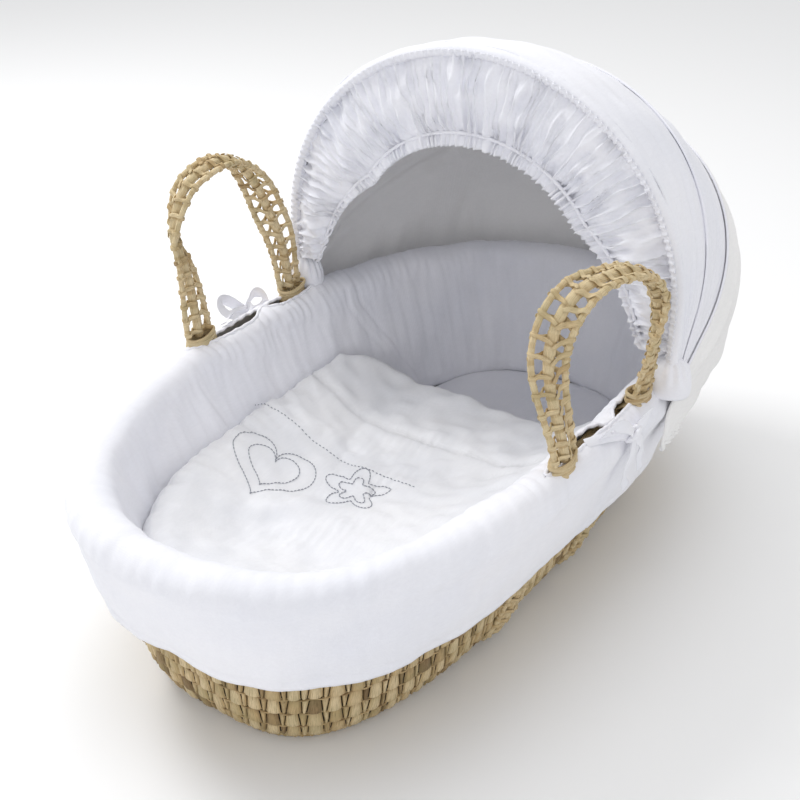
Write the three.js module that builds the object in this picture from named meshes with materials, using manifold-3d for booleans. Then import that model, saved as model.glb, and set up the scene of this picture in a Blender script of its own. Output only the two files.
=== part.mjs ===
// Palm-leaf Moses basket with a fabric dressing, mattress, coverlet, two handles and a folding hood.
// Millimetres. +Y points to the head end, +X to the right-hand side, +Z up. The origin lies on the
// floor, under the middle of the whole outline.
import * as THREE from 'three';
import { mergeVertices } from 'three/addons/utils/BufferGeometryUtils.js';
import Module from 'manifold-3d';

const wasm = await Module();
wasm.setup();

const { lerp, degToRad } = THREE.MathUtils;

// ---- driving dimensions ------------------------------------------------------------------------

const SIDES = { right: 1, left: -1 };
const LEGS = { foot: -114, head: 38 };                 // Y of each handle leg
const GAP = 0.4;                                       // clearance between touching pieces

const BASE = { halfWidth: 132, foot: 325, head: 325, centreY: -11, squareness: 3.3 };
const RIM = { halfWidth: 216, foot: 373, head: 401, centreY: -29, squareness: 2.5 };
const WALL = { top: 205, thickness: 9, bulge: 0.22, bulgeHeight: 16, endDrop: 0.055, lip: 2 };
const COURSES = 9;
const FLOOR = { thickness: 8, plaitHeight: 10 };
const BINDING = { radius: 8, offset: -4.5, z: WALL.top + 8.4 };
const RING_STEPS = 44;

const STRAP = { width: 34, thickness: 4, bottom: 14, top: 198 };
const LASHING = { length: 38, inner: 8.9, outer: 12.4 };
const HANDLE = {
  pivotOffset: 1, pivotZ: 234, halfWidth: 15.5, edgeRadius: 3.2, coreRadius: 5.4,
  latticeThickness: 2.6, windows: 12, steps: 24,
};
// Middle lines of the two hand-made handles: outwards, along Y from mid-handle, and up from the pivot.
const HANDLE_LINES = {
  right: [
    [0, -76, 3], [-4, -82, 34], [-13, -86, 70], [-17, -86, 105], [-15, -74, 137], [-8, -52, 155],
    [2, -16, 158], [10, 20, 150], [15, 46, 130], [14, 62, 104], [11, 72, 71], [6, 76, 32], [2, 76, 3],
  ],
  left: [
    [0, -76, 3], [2, -80, 48], [6, -83, 84], [14, -85, 111], [13, -82, 134], [9, -68, 162],
    [5, -40, 176], [8, -8, 174], [13, 20, 158], [14, 42, 132], [12, 58, 98], [7, 70, 60], [2, 76, 3],
  ],
};

const LINER = { back: -13, face: -22.5, bottom: 63 };
const SKIRT = { inner: 10, outer: 14, top: 205.2, hem: 106, footHemRise: 8 };
const SLOT = { y0: -140, y1: 90, inner: -17.6, outer: 9.4, bottom: 196, top: 260 };
const PIPING = { radius: 1.5, inner: -19.4, outer: 11.6, innerZ: 230.6, outerZ: 228.2 };
const BOW = { y: 2, z: 219, knot: 7, loop: 15, tail: 44 };

const MATTRESS = { bottom: 11.5, top: 57, offset: -13, sheet: 1.4, opening: 34 };
const COVERLET = { bottom: 60, edgeTop: 155, middleTop: 114, offset: -26.5, headY: 128 };

const HOOD = {
  y: 72, z: 240, halfWidth: 243, rise: 230, centre: 66, legTurn: 0.09, eyeReach: 6,
  wire: 2.5, frontInset: 14, middleInset: 20, middleDrop: 7, cloth: 2, steps: 22,
  fullness: 52, fullFrom: 60, fullTo: 10,
};
const GORES = {
  hood_canopy_front: { from: 90, to: 59, inset: 8 },
  hood_canopy_middle: { from: 61, to: 31.5, inset: 4.5 },
};
const REAR = { topAngle: 31, midAngle: 12, sideOut: 22, bulgeOut: 41, bulgeZ: 206, hemOut: 18.8, hemZ: 164, sideY: 62 };
const FRILL = { y: 72, thickness: 5, outerInset: 17.4, width: 74, footWidth: 16 };
const PIN = { radius: 2.5, x0: 212, x1: 232.3, clearance: 0.4 };
const CLIP = { length: 22, skin: 2.4, tabThickness: 3, tabX: 216.4, tabTop: 248 };

// ---- materials ---------------------------------------------------------------------------------

const material = (color, roughness, metalness = 0) =>
  new THREE.MeshStandardMaterial({ color, roughness, metalness });

const LEAF = material(0xbba880, 0.75);
const LEAF_PALE = material(0xcfc09a, 0.72);
const LEAF_DARK = material(0xa8946a, 0.8);
const COTTON = material(0xeceef2, 0.85);
const COTTON_CREAM = material(0xf1f0ea, 0.85);
const QUILT = material(0xe4e5e7, 0.88);
const FOAM = material(0xf3efdf, 0.95);
const ELASTIC = material(0xf7f7f7, 0.8);
const STEEL = material(0x9a9da0, 0.35, 1);
const PLASTIC = material(0xf2f2f0, 0.45);

// ---- geometry helpers --------------------------------------------------------------------------

function signedVolume(position, index) {
  const a = new THREE.Vector3();
  const b = new THREE.Vector3();
  const c = new THREE.Vector3();
  let volume = 0;
  for (let i = 0; i < index.length; i += 3) {
    a.fromArray(position, index[i] * 3);
    b.fromArray(position, index[i + 1] * 3);
    c.fromArray(position, index[i + 2] * 3);
    volume += a.dot(b.cross(c)) / 6;
  }
  return volume;
}

// A closed geometry whose faces point out, whichever way round its triangles were listed.
function closedGeometry(position, index) {
  const outward = signedVolume(position, index) > 0;
  const ordered = outward ? index : [...index].reverse();
  const geometry = new THREE.BufferGeometry();
  geometry.setAttribute('position', new THREE.Float32BufferAttribute(position, 3));
  geometry.setIndex(ordered);
  return geometry;
}

// Moves every vertex of a closed geometry through a map.
function bend(geometry, map) {
  const bare = geometry.clone().deleteAttribute('normal').deleteAttribute('uv');
  const merged = mergeVertices(bare, 1e-4);
  const source = merged.getAttribute('position');
  const position = [];
  for (let i = 0; i < source.count; i += 1) {
    position.push(...map(new THREE.Vector3().fromBufferAttribute(source, i)).toArray());
  }
  return closedGeometry(position, [...merged.getIndex().array]);
}

function toManifold(geometry) {
  const solid = bend(geometry, (point) => point);
  return new wasm.Manifold(new wasm.Mesh({
    numProp: 3,
    vertProperties: new Float32Array(solid.getAttribute('position').array),
    triVerts: new Uint32Array(solid.getIndex().array),
  }));
}

function fromManifold(solid) {
  const { vertProperties, triVerts } = solid.getMesh();
  return closedGeometry([...vertProperties], [...triVerts]);
}

const join = (...parts) => fromManifold(parts.map(toManifold).reduce((a, b) => a.add(b)));
const cut = (body, ...tools) =>
  fromManifold(tools.map(toManifold).reduce((a, b) => a.subtract(b), toManifold(body)));

const mirrored = (geometry, side) => bend(geometry, (point) => point.setX(side * point.x));

function boxBetween(low, high) {
  const size = high.map((value, i) => value - low[i]);
  const middle = high.map((value, i) => (value + low[i]) / 2);
  return new THREE.BoxGeometry(...size).translate(...middle);
}

// Joins rings of points into a closed solid: rings of equal length, capped or joined end to end.
function loft(rings, closed, capTriangles = flatCap) {
  const count = rings[0].length;
  const position = rings.flat().flatMap((point) => point.toArray());
  const index = [];
  const spans = closed ? rings.length : rings.length - 1;
  for (let i = 0; i < spans; i += 1) {
    const here = i * count;
    const next = ((i + 1) % rings.length) * count;
    for (let j = 0; j < count; j += 1) {
      const k = (j + 1) % count;
      index.push(here + j, here + k, next + k, here + j, next + k, next + j);
    }
  }
  if (!closed) {
    const last = (rings.length - 1) * count;
    for (const [a, b, c] of capTriangles(rings[0])) {
      index.push(c, b, a, last + a, last + b, last + c);
    }
  }
  return closedGeometry(position, index);
}

// Fills a plane ring, keeping its turning direction as loft() expects.
function flatCap(ring) {
  const normal = new THREE.Vector3();
  ring.forEach((point, i) => {
    normal.add(new THREE.Vector3().crossVectors(point, ring[(i + 1) % ring.length]));
  });
  normal.normalize();
  const across = new THREE.Vector3().subVectors(ring[1], ring[0]).normalize();
  const up = new THREE.Vector3().crossVectors(normal, across);
  const flat = ring.map((point) => new THREE.Vector2(point.dot(across), point.dot(up)));
  return THREE.ShapeUtils.triangulateShape(flat, []);
}

// Fills a ring that runs out along one row of points and back along another.
function ladderCap(ring) {
  const triangles = [];
  const last = ring.length - 1;
  for (let j = 0; j < ring.length / 2 - 1; j += 1) {
    triangles.push([j, j + 1, last - j - 1], [j, last - j - 1, last - j]);
  }
  return triangles;
}

// A sheet of even thickness over surface(u, v), with u and v from 0 to 1.
function sheet(surface, uSteps, vSteps, thickness) {
  const delta = 1e-3;
  const rows = [];
  for (let i = 0; i <= uSteps; i += 1) {
    const u = i / uSteps;
    const outer = [];
    const inner = [];
    for (let j = 0; j <= vSteps; j += 1) {
      const v = j / vSteps;
      const point = surface(u, v);
      const du = surface(Math.min(u + delta, 1), v).sub(surface(Math.max(u - delta, 0), v));
      const dv = surface(u, Math.min(v + delta, 1)).sub(surface(u, Math.max(v - delta, 0)));
      const normal = du.cross(dv).normalize();
      outer.push(point);
      inner.push(point.clone().addScaledVector(normal, thickness));
    }
    rows.push([...outer, ...inner.reverse()]);
  }
  return loft(rows, false, ladderCap);
}

// A plate over a grid of cells, some of them open, bent by surface(u, v, h) with h 0 or 1.
function pierced(us, vs, isOpen, surface) {
  const position = [0, 1].flatMap((h) => us.flatMap((u) => vs.flatMap((v) => surface(u, v, h).toArray())));
  const vertex = (i, j, h) => h * us.length * vs.length + i * vs.length + j;
  const solidCell = (i, j) =>
    i >= 0 && j >= 0 && i < us.length - 1 && j < vs.length - 1 && !isOpen(i, j);
  const index = [];
  const quad = (a, b, c, d) => index.push(a, b, c, a, c, d);
  for (let i = 0; i < us.length - 1; i += 1) {
    for (let j = 0; j < vs.length - 1; j += 1) {
      if (!solidCell(i, j)) continue;
      const corners = [[i, j], [i + 1, j], [i + 1, j + 1], [i, j + 1]];
      const neighbours = [[i, j - 1], [i + 1, j], [i, j + 1], [i - 1, j]];
      quad(...corners.map(([a, b]) => vertex(a, b, 1)));
      quad(...[...corners].reverse().map(([a, b]) => vertex(a, b, 0)));
      neighbours.forEach((cell, k) => {
        if (solidCell(...cell)) return;
        const here = corners[k];
        const next = corners[(k + 1) % 4];
        quad(vertex(...here, 0), vertex(...next, 0), vertex(...next, 1), vertex(...here, 1));
      });
    }
  }
  return closedGeometry(position, index);
}

// A round cord through points, sharp ends.
function cord(points, radius, steps, sides = 6) {
  const ring = Array.from({ length: sides }, (_, i) => {
    const angle = (2 * Math.PI * i) / sides;
    return new THREE.Vector2(radius * Math.cos(angle), radius * Math.sin(angle));
  });
  const extrudePath = new THREE.CatmullRomCurve3(points, false, 'centripetal');
  return new THREE.ExtrudeGeometry(new THREE.Shape(ring), { steps, bevelEnabled: false, extrudePath });
}

// ---- the basket's surface ----------------------------------------------------------------------

// How far the wall has flared from the base outline (0) to the rim outline (1) at a height.
function flare(z) {
  const height = Math.min(Math.max(z, 0), WALL.top);
  const belly = WALL.bulge * (1 - Math.exp(-height / WALL.bulgeHeight));
  return belly + (1 - WALL.bulge) * (height / WALL.top);
}

function outline(z, offset, headwards) {
  const u = flare(z);
  const end = headwards ? 'head' : 'foot';
  return {
    halfWidth: lerp(BASE.halfWidth, RIM.halfWidth, u) + offset,
    halfLength: lerp(BASE[end], RIM[end], u) + offset,
    centreY: lerp(BASE.centreY, RIM.centreY, u),
    n: lerp(BASE.squareness, RIM.squareness, u),
  };
}

const dropped = (z, alongEnd) => z * (1 - WALL.endDrop * alongEnd ** 2);

// A point of the wall's outer surface, moved out by offset. Angle 0 is +X and 90 degrees the head.
function wallPoint(angle, z, offset) {
  const c = Math.cos(angle);
  const s = Math.sin(angle);
  const { halfWidth, halfLength, centreY, n } = outline(z, offset, s > 0);
  const k = (Math.abs(c) ** n + Math.abs(s) ** n) ** (-1 / n);
  return new THREE.Vector3(halfWidth * c * k, centreY + halfLength * s * k, dropped(z, s * k));
}

// The same surface on one long side, found from Y instead of from the angle.
function sidePoint(side, y, z, offset) {
  const { centreY } = outline(z, offset, true);
  const { halfWidth, halfLength, n } = outline(z, offset, y > centreY);
  const along = Math.abs(y - centreY) / halfLength;
  return new THREE.Vector3(side * halfWidth * (1 - along ** n) ** (1 / n), y, dropped(z, along));
}

// A ring all round the basket with a closed section of [offset, z] points.
function ringSolid(section) {
  const rings = Array.from({ length: RING_STEPS }, (_, i) => {
    const angle = (2 * Math.PI * i) / RING_STEPS;
    return section(angle).map(([offset, z]) => wallPoint(angle, z, offset));
  });
  return loft(rings, true);
}

// A length of section along one side, from y0 to y1.
function alongSide(side, section, y0, y1, steps) {
  const rings = Array.from({ length: steps + 1 }, (_, i) => {
    const y = lerp(y0, y1, i / steps);
    return section.map(([offset, z]) => sidePoint(side, y, z, offset));
  });
  return loft(rings, false);
}

const circle = (offset, z, radius, sides) => Array.from({ length: sides }, (_, i) => {
  const angle = (2 * Math.PI * (i + 0.5)) / sides;
  return [offset + radius * Math.cos(angle), z + radius * Math.sin(angle)];
});

function outlineShape(z, offset, steps = RING_STEPS) {
  const points = Array.from({ length: steps }, (_, i) => {
    const point = wallPoint((2 * Math.PI * i) / steps, z, offset);
    return new THREE.Vector2(point.x, point.y);
  });
  return new THREE.Shape(points);
}

const plate = (shape, z0, z1) =>
  new THREE.ExtrudeGeometry(shape, { depth: z1 - z0, bevelEnabled: false }).translate(0, 0, z0);

// ---- the woven basket --------------------------------------------------------------------------

const basketFloor = () =>
  plate(outlineShape(0, -WALL.thickness - 1), 0, FLOOR.thickness);

function floorPlait() {
  const top = FLOOR.plaitHeight - GAP;
  return ringSolid(() => [[-WALL.thickness, 0], [-1, 0], [1, top / 2], [0, top], [-WALL.thickness, top]]);
}

function wallCourse(number) {
  const height = (WALL.top - FLOOR.plaitHeight) / COURSES;
  const z0 = FLOOR.plaitHeight + number * height;
  const z1 = z0 + height - GAP;
  return ringSolid(() => [[-WALL.thickness, z0], [0, z0], [-WALL.lip, z1], [-WALL.thickness, z1]]);
}

const rimBinding = () => ringSolid(() => circle(BINDING.offset, BINDING.z, BINDING.radius, 6));

function wallStrap(side, legY) {
  const levels = 9;
  const heights = Array.from({ length: levels }, (_, i) => lerp(STRAP.bottom, STRAP.top, i / (levels - 1)));
  const inner = heights.map((z) => [GAP + 0.3, z]);
  const outer = heights.map((z) => [GAP + 0.3 + STRAP.thickness, z]).reverse();
  return alongSide(side, [...inner, ...outer], legY - STRAP.width / 2, legY + STRAP.width / 2, 3);
}

// Cord whipped over the rim binding where a strap leaves the wall; open below, over the wall.
function lashing(side, legY) {
  const turns = 9;
  const arc = (radius) => Array.from({ length: turns }, (_, i) => {
    const angle = degToRad(lerp(-52, 232, i / (turns - 1)));
    return [BINDING.offset + radius * Math.cos(angle), BINDING.z + radius * Math.sin(angle)];
  });
  const section = [...arc(LASHING.outer), ...arc(LASHING.inner).reverse()];
  return alongSide(side, section, legY - LASHING.length / 2, legY + LASHING.length / 2, 3);
}

// ---- handles -----------------------------------------------------------------------------------

const handleCurve = Object.fromEntries(Object.entries(HANDLE_LINES).map(([name, line]) => {
  const points = line.map(([out, y, z]) => new THREE.Vector3(SIDES[name] * out, y, z));
  return [SIDES[name], new THREE.CatmullRomCurve3(points, false, 'centripetal')];
}));

// A point of the strap: t along the loop, w across it, h out of its face. The strap lies flat on
// the wall at both legs and turns a quarter turn to lie flat over the top of the loop.
function strapPoint(side, t, w, h) {
  const curve = handleCurve[side];
  const along = curve.getTangentAt(t);
  const outwards = new THREE.Vector3(side, 0, 0).addScaledVector(along, -side * along.x).normalize();
  const inwards = new THREE.Vector3().crossVectors(along, outwards).multiplyScalar(side);
  const turn = (Math.PI / 2) * Math.sin(Math.PI * t) ** 2;
  const across = inwards.clone().multiplyScalar(Math.cos(turn)).addScaledVector(outwards, Math.sin(turn));
  const face = outwards.clone().multiplyScalar(Math.cos(turn)).addScaledVector(inwards, -Math.sin(turn));
  const middleY = (LEGS.foot + LEGS.head) / 2;
  const pivot = new THREE.Vector3(side * (RIM.halfWidth + HANDLE.pivotOffset), middleY, HANDLE.pivotZ);
  return curve.getPointAt(t).addScaledVector(across, w).addScaledVector(face, h).add(pivot);
}

function handleCord(side, w, radius) {
  const samples = Array.from({ length: HANDLE.steps + 1 }, (_, i) =>
    strapPoint(side, i / HANDLE.steps, w, 0));
  return cord(samples, radius, HANDLE.steps);
}

// A ladder of loops between an edge cord and the core cord.
function handleLattice(side, edge) {
  const inner = HANDLE.coreRadius + 2 * GAP;
  const outer = HANDLE.halfWidth - HANDLE.edgeRadius - 1.5 * GAP;
  const rail = 1.3;
  const across = [inner, inner + rail, outer - rail, outer];
  const along = [0];
  for (let i = 0; i < HANDLE.windows; i += 1) along.push((i + 0.25) / HANDLE.windows, (i + 0.75) / HANDLE.windows);
  along.push(1);
  const isOpen = (i, j) => i % 2 === 1 && j === 1;
  return pierced(along, across, isOpen, (u, w, h) =>
    strapPoint(side, lerp(0.008, 0.992, u), edge * w, (h - 0.5) * HANDLE.latticeThickness));
}

// ---- dressing ----------------------------------------------------------------------------------

function slotCutter(side) {
  const { inner, outer, bottom, top } = SLOT;
  const section = [
    [inner, bottom], [outer, bottom], [outer, WALL.top], [outer, top], [inner, top], [inner, WALL.top],
  ];
  return alongSide(side, section, SLOT.y0, SLOT.y1, 8);
}

// Padded inner wall that rolls over the rim; slotted on both sides for the handles.
function linerPanel() {
  const { back, face, bottom } = LINER;
  const top = WALL.top;
  const section = [
    [back, bottom], [back, 130], [back, top - 3], [back - 0.6, top + 8], [-10, top + 17.4],
    [-4.5, top + 18.8], [1, top + 17.4], [4.8, top + 9], [5, top + 1], [SKIRT.outer, top + 1],
    [SKIRT.outer + 0.3, top + 12], [9, top + 21], [-3, top + 24.6], [-15, top + 23],
    [face + 1, top + 14], [face - 2, top - 4], [face - 1, 130], [face, bottom],
  ];
  return cut(ringSolid(() => section), slotCutter(1), slotCutter(-1));
}

function hemHeight(angle) {
  const towardsFoot = Math.max(0, -Math.sin(angle));
  return SKIRT.hem + SKIRT.footHemRise * towardsFoot ** 2;
}

function skirt() {
  return ringSolid((angle) => {
    const hem = hemHeight(angle);
    const middle = (hem + SKIRT.top) / 2;
    return [
      [SKIRT.inner, hem], [SKIRT.outer, hem], [SKIRT.outer + 1, middle], [SKIRT.outer, SKIRT.top],
      [SKIRT.inner, SKIRT.top], [SKIRT.inner + 1, middle],
    ];
  });
}

// Bound edge round a handle slot: along the inner lip, across, and back along the outer lip.
function slotPiping(side) {
  const inset = 12;
  const stations = 5;
  const line = (offset, z, from, to) => Array.from({ length: stations }, (_, i) =>
    sidePoint(side, lerp(from, to, i / (stations - 1)), WALL.top, offset).setZ(z));
  const y0 = SLOT.y0 + 2;
  const y1 = SLOT.y1 - inset;
  const points = [
    ...line(PIPING.outer, PIPING.outerZ, y1, y0 + 8),
    sidePoint(side, y0 - 4, WALL.top, (PIPING.inner + PIPING.outer) / 2).setZ(PIPING.innerZ + 1.6),
    ...line(PIPING.inner, PIPING.innerZ, y0 + 8, y1),
  ];
  return cord(points, PIPING.radius, 18, 5);
}

// Tie tape in a bow on the outer lip of a slot: a knot, two loops and two tails.
function tieBow(side) {
  const knot = new THREE.SphereGeometry(BOW.knot, 8, 6).scale(0.75, 1, 1);
  const loop = (turn) => new THREE.TorusGeometry(BOW.loop * 0.55, 2.6, 5, 10)
    .scale(1.6, 0.8, 1).translate(BOW.loop * 0.95, 0, 0).rotateZ(turn)
    .rotateY(Math.PI / 2).rotateX(Math.PI / 2);
  const tail = (turn) => new THREE.BoxGeometry(3, 9, BOW.tail)
    .translate(0, 0, -BOW.tail / 2).rotateX(turn);
  const bow = join(knot, loop(0.5), loop(Math.PI - 0.2), tail(0.16), tail(-0.24));
  const seat = sidePoint(side, BOW.y, WALL.top, SKIRT.outer + 8.6);
  return mirrored(bow, side).translate(seat.x, BOW.y, BOW.z);
}

// ---- bedding -----------------------------------------------------------------------------------

const mattressFoam = () => plate(outlineShape(MATTRESS.bottom, MATTRESS.offset, 48), MATTRESS.bottom, MATTRESS.top);

// Fitted sheet: a cap over the foam, its gathered edge turned in underneath.
function mattressSheet() {
  const { bottom, top, offset, sheet: thick, opening } = MATTRESS;
  const outer = plate(outlineShape(bottom, offset + GAP + thick, 48), bottom - GAP - thick, top + GAP + thick);
  const inner = plate(outlineShape(bottom, offset + GAP, 48), bottom - GAP, top + GAP);
  const mouth = plate(outlineShape(bottom, offset - opening, 48), bottom - 10, bottom + 5);
  return cut(outer, inner, mouth);
}

// Padded cover over the foot of the mattress: it fills the space between the liner walls, its
// edges riding up them and its middle lower, with its head edge straight across.
function coverlet() {
  const { bottom, edgeTop, middleTop, offset, headY } = COVERLET;
  const section = [
    [bottom, offset - 9], [bottom + 12, offset - 3], [edgeTop - 14, offset], [edgeTop, offset - 9],
    [edgeTop - 4, offset - 22], [lerp(edgeTop, middleTop, 0.75), offset - 44], [middleTop, offset - 76],
  ];
  const solid = loft(section.map(([z, inset]) =>
    outlineShape(z, inset, 40).getPoints().map((p) => new THREE.Vector3(p.x, p.y, z))), false);
  return cut(solid, boxBetween([-400, headY, 0], [400, 500, 300]));
}

// ---- hood --------------------------------------------------------------------------------------

// How much further the cloth reaches towards the back of the hood than at its front.
const hoodFullness = (phi) =>
  HOOD.fullness * (1 - THREE.MathUtils.smoothstep(phi, HOOD.fullTo, HOOD.fullFrom));

// A point on the hood's arch: turn 0 at the right foot and 1 at the left, inset inside the cloth,
// phi the angle of the arch about the pivot, 90 upright and 0 lying back towards the head. A drop
// lowers the arch without narrowing it.
function hoodPoint(turn, inset, phi, drop = 0) {
  const { halfWidth, centre, legTurn, eyeReach } = HOOD;
  const rise = HOOD.rise + hoodFullness(phi);
  const half = turn <= 0.5 ? turn : 1 - turn;
  const sign = turn <= 0.5 ? 1 : -1;
  const onLeg = half < legTurn;
  const arc = (Math.PI / 2) * ((half - legTurn) / (0.5 - legTurn));
  const x = onLeg ? halfWidth - inset : (halfWidth - inset) * Math.cos(arc);
  const reach = onLeg ? lerp(eyeReach, centre, half / legTurn) : centre + (rise - inset - drop) * Math.sin(arc);
  const angle = degToRad(phi);
  return new THREE.Vector3(sign * x, HOOD.y + reach * Math.cos(angle), HOOD.z + reach * Math.sin(angle));
}

// Sprung wire bow with an eye at each foot.
function hoop(inset, phi, drop) {
  const points = Array.from({ length: HOOD.steps + 1 }, (_, i) =>
    hoodPoint(i / HOOD.steps, inset, phi, drop));
  const eye = (side) => {
    const ring = new THREE.Shape().absarc(0, 0, HOOD.eyeReach + 0.5, 0, 2 * Math.PI);
    ring.holes.push(new THREE.Path().absarc(0, 0, PIN.radius + PIN.clearance, 0, 2 * Math.PI, true));
    return new THREE.ExtrudeGeometry(ring, { depth: 2 * HOOD.wire, bevelEnabled: false, curveSegments: 8 })
      .translate(0, 0, -HOOD.wire).rotateY(Math.PI / 2)
      .translate(side * (HOOD.halfWidth - inset), HOOD.y, HOOD.z);
  };
  const bore = new THREE.CylinderGeometry(PIN.radius + PIN.clearance, PIN.radius + PIN.clearance, 600, 16)
    .rotateZ(Math.PI / 2).translate(0, HOOD.y, HOOD.z);
  return cut(join(cord(points, HOOD.wire, 28), eye(1), eye(-1)), bore);
}

const archTurn = (u) => lerp(0.012, 0.988, u);

function canopyGore({ from, to, inset }) {
  return sheet((u, v) => hoodPoint(archTurn(u), inset, lerp(from, to, v)), HOOD.steps, 3, HOOD.cloth);
}

// A line outside the dressed rim, from the right side round the head to the left.
function hemPoint(u, out, z) {
  const start = Math.asin((REAR.sideY - RIM.centreY) / RIM.head);
  const eased = u - 0.07 * Math.sin(2 * Math.PI * u);
  return wallPoint(lerp(start, Math.PI - start, eased), WALL.top, out).setZ(z);
}

// Rear of the hood: from the middle gore, bulging past the rim, down to its gathered hem.
function canopyRear() {
  return sheet((u, v) => {
    const bulge = lerp(REAR.sideOut, REAR.bulgeOut, Math.sqrt(Math.sin(Math.PI * u)));
    return new THREE.CatmullRomCurve3([
      hoodPoint(archTurn(u), 0, REAR.topAngle),
      hoodPoint(archTurn(u), 0, REAR.midAngle),
      hemPoint(u, bulge, REAR.bulgeZ),
      hemPoint(u, REAR.hemOut, REAR.hemZ),
    ], false, 'centripetal').getPoint(v);
  }, HOOD.steps, 5, HOOD.cloth);
}

function hemElastic() {
  const points = Array.from({ length: 25 }, (_, i) => hemPoint(i / 24, REAR.hemOut, REAR.hemZ - 3));
  return cord(points, 1.5, 24, 5);
}

const frillWidth = (turn) => lerp(FRILL.footWidth, FRILL.width, Math.min(1, Math.sin(Math.PI * turn) * 1.5));

// Gathered frill hanging inside the front hoop.
function hoodFrill() {
  const solid = sheet((u, v) => {
    const turn = lerp(0.03, 0.97, u);
    return hoodPoint(turn, FRILL.outerInset + v * frillWidth(turn), 90);
  }, HOOD.steps, 2, FRILL.thickness);
  solid.computeBoundingBox();
  const middle = (solid.boundingBox.min.y + solid.boundingBox.max.y) / 2;
  return solid.translate(0, FRILL.y - middle, 0);
}

function frillElastic() {
  const points = Array.from({ length: HOOD.steps + 1 }, (_, i) => {
    const turn = lerp(0.035, 0.965, i / HOOD.steps);
    return hoodPoint(turn, FRILL.outerInset + frillWidth(turn) + 2, 90);
  });
  return cord(points, 1.3, 28, 5);
}

// Clip over the rim binding with a tab that carries the hood's pivot pin.
function hoodClip(side) {
  const turns = 9;
  const y0 = HOOD.y - CLIP.length / 2;
  const y1 = HOOD.y + CLIP.length / 2;
  const arc = (radius) => Array.from({ length: turns }, (_, i) => {
    const angle = degToRad(lerp(-35, 215, i / (turns - 1)));
    return [BINDING.offset + radius * Math.cos(angle), BINDING.z + radius * Math.sin(angle)];
  });
  const inner = BINDING.radius + 0.8;
  const saddle = alongSide(side, [...arc(inner + CLIP.skin), ...arc(inner).reverse()], y0, y1, 2);
  const tab = mirrored(boxBetween(
    [CLIP.tabX, y0 + 3, BINDING.z],
    [CLIP.tabX + CLIP.tabThickness, y1 - 3, CLIP.tabTop],
  ), side);
  const bore = new THREE.CylinderGeometry(PIN.radius + PIN.clearance, PIN.radius + PIN.clearance, 30, 16)
    .rotateZ(Math.PI / 2).translate(side * CLIP.tabX, HOOD.y, HOOD.z);
  const binding = alongSide(side, circle(BINDING.offset, BINDING.z, inner, 12), y0 - 5, y1 + 5, 3);
  return cut(join(saddle, tab), bore, binding);
}

function hoodPin(side) {
  const length = PIN.x1 - PIN.x0;
  return new THREE.CylinderGeometry(PIN.radius, PIN.radius, length, 16)
    .rotateZ(Math.PI / 2).translate(side * (PIN.x0 + length / 2), HOOD.y, HOOD.z);
}

// ---- assembly ----------------------------------------------------------------------------------

const basket = new THREE.Group();

function add(name, geometry, finish) {
  const mesh = new THREE.Mesh(geometry, finish.clone());
  mesh.name = name;
  basket.add(mesh);
}

add('basket_floor', basketFloor(), LEAF_DARK);
add('floor_plait', floorPlait(), LEAF_DARK);
for (let i = 0; i < COURSES; i += 1) add(`wall_course_${i + 1}`, wallCourse(i), i % 2 ? LEAF : LEAF_PALE);
add('rim_binding', rimBinding(), LEAF_PALE);

for (const [sideName, side] of Object.entries(SIDES)) {
  for (const [legName, legY] of Object.entries(LEGS)) {
    add(`wall_strap_${sideName}_${legName}`, wallStrap(side, legY), LEAF_PALE);
    add(`lashing_${sideName}_${legName}`, lashing(side, legY), LEAF_PALE);
  }
  add(`handle_core_${sideName}`, handleCord(side, 0, HANDLE.coreRadius), LEAF_PALE);
  for (const [edgeName, edge] of [['outer', -1], ['inner', 1]]) {
    add(`handle_cord_${sideName}_${edgeName}`, handleCord(side, edge * HANDLE.halfWidth, HANDLE.edgeRadius), LEAF);
    add(`handle_lattice_${sideName}_${edgeName}`, handleLattice(side, edge), LEAF_PALE);
  }
  add(`slot_piping_${sideName}`, slotPiping(side), COTTON);
  add(`tie_bow_${sideName}`, tieBow(side), COTTON);
  add(`hood_clip_${sideName}`, hoodClip(side), PLASTIC);
  add(`hood_pin_${sideName}`, hoodPin(side), STEEL);
}

add('liner_panel', linerPanel(), COTTON);
add('liner_skirt', skirt(), COTTON);
add('mattress_foam', mattressFoam(), FOAM);
add('mattress_sheet', mattressSheet(), COTTON);
add('coverlet', coverlet(), QUILT);

add('hood_front_hoop', hoop(HOOD.frontInset, 90, 0), STEEL);
add('hood_middle_hoop', hoop(HOOD.middleInset, 45, HOOD.middleDrop), STEEL);
for (const [name, gore] of Object.entries(GORES)) add(name, canopyGore(gore), COTTON);
add('hood_canopy_rear', canopyRear(), COTTON_CREAM);
add('hood_hem_elastic', hemElastic(), ELASTIC);
add('hood_frill', hoodFrill(), COTTON);
add('frill_elastic', frillElastic(), ELASTIC);

export default basket;
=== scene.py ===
"""Palm-leaf Moses basket with its dressing, bedding, handles and folding hood, built round the frame.

Shapes are worked out in millimetres in the frame's own axes: +Y to the head, +X to the right, +Z up.
"""

import math

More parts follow.
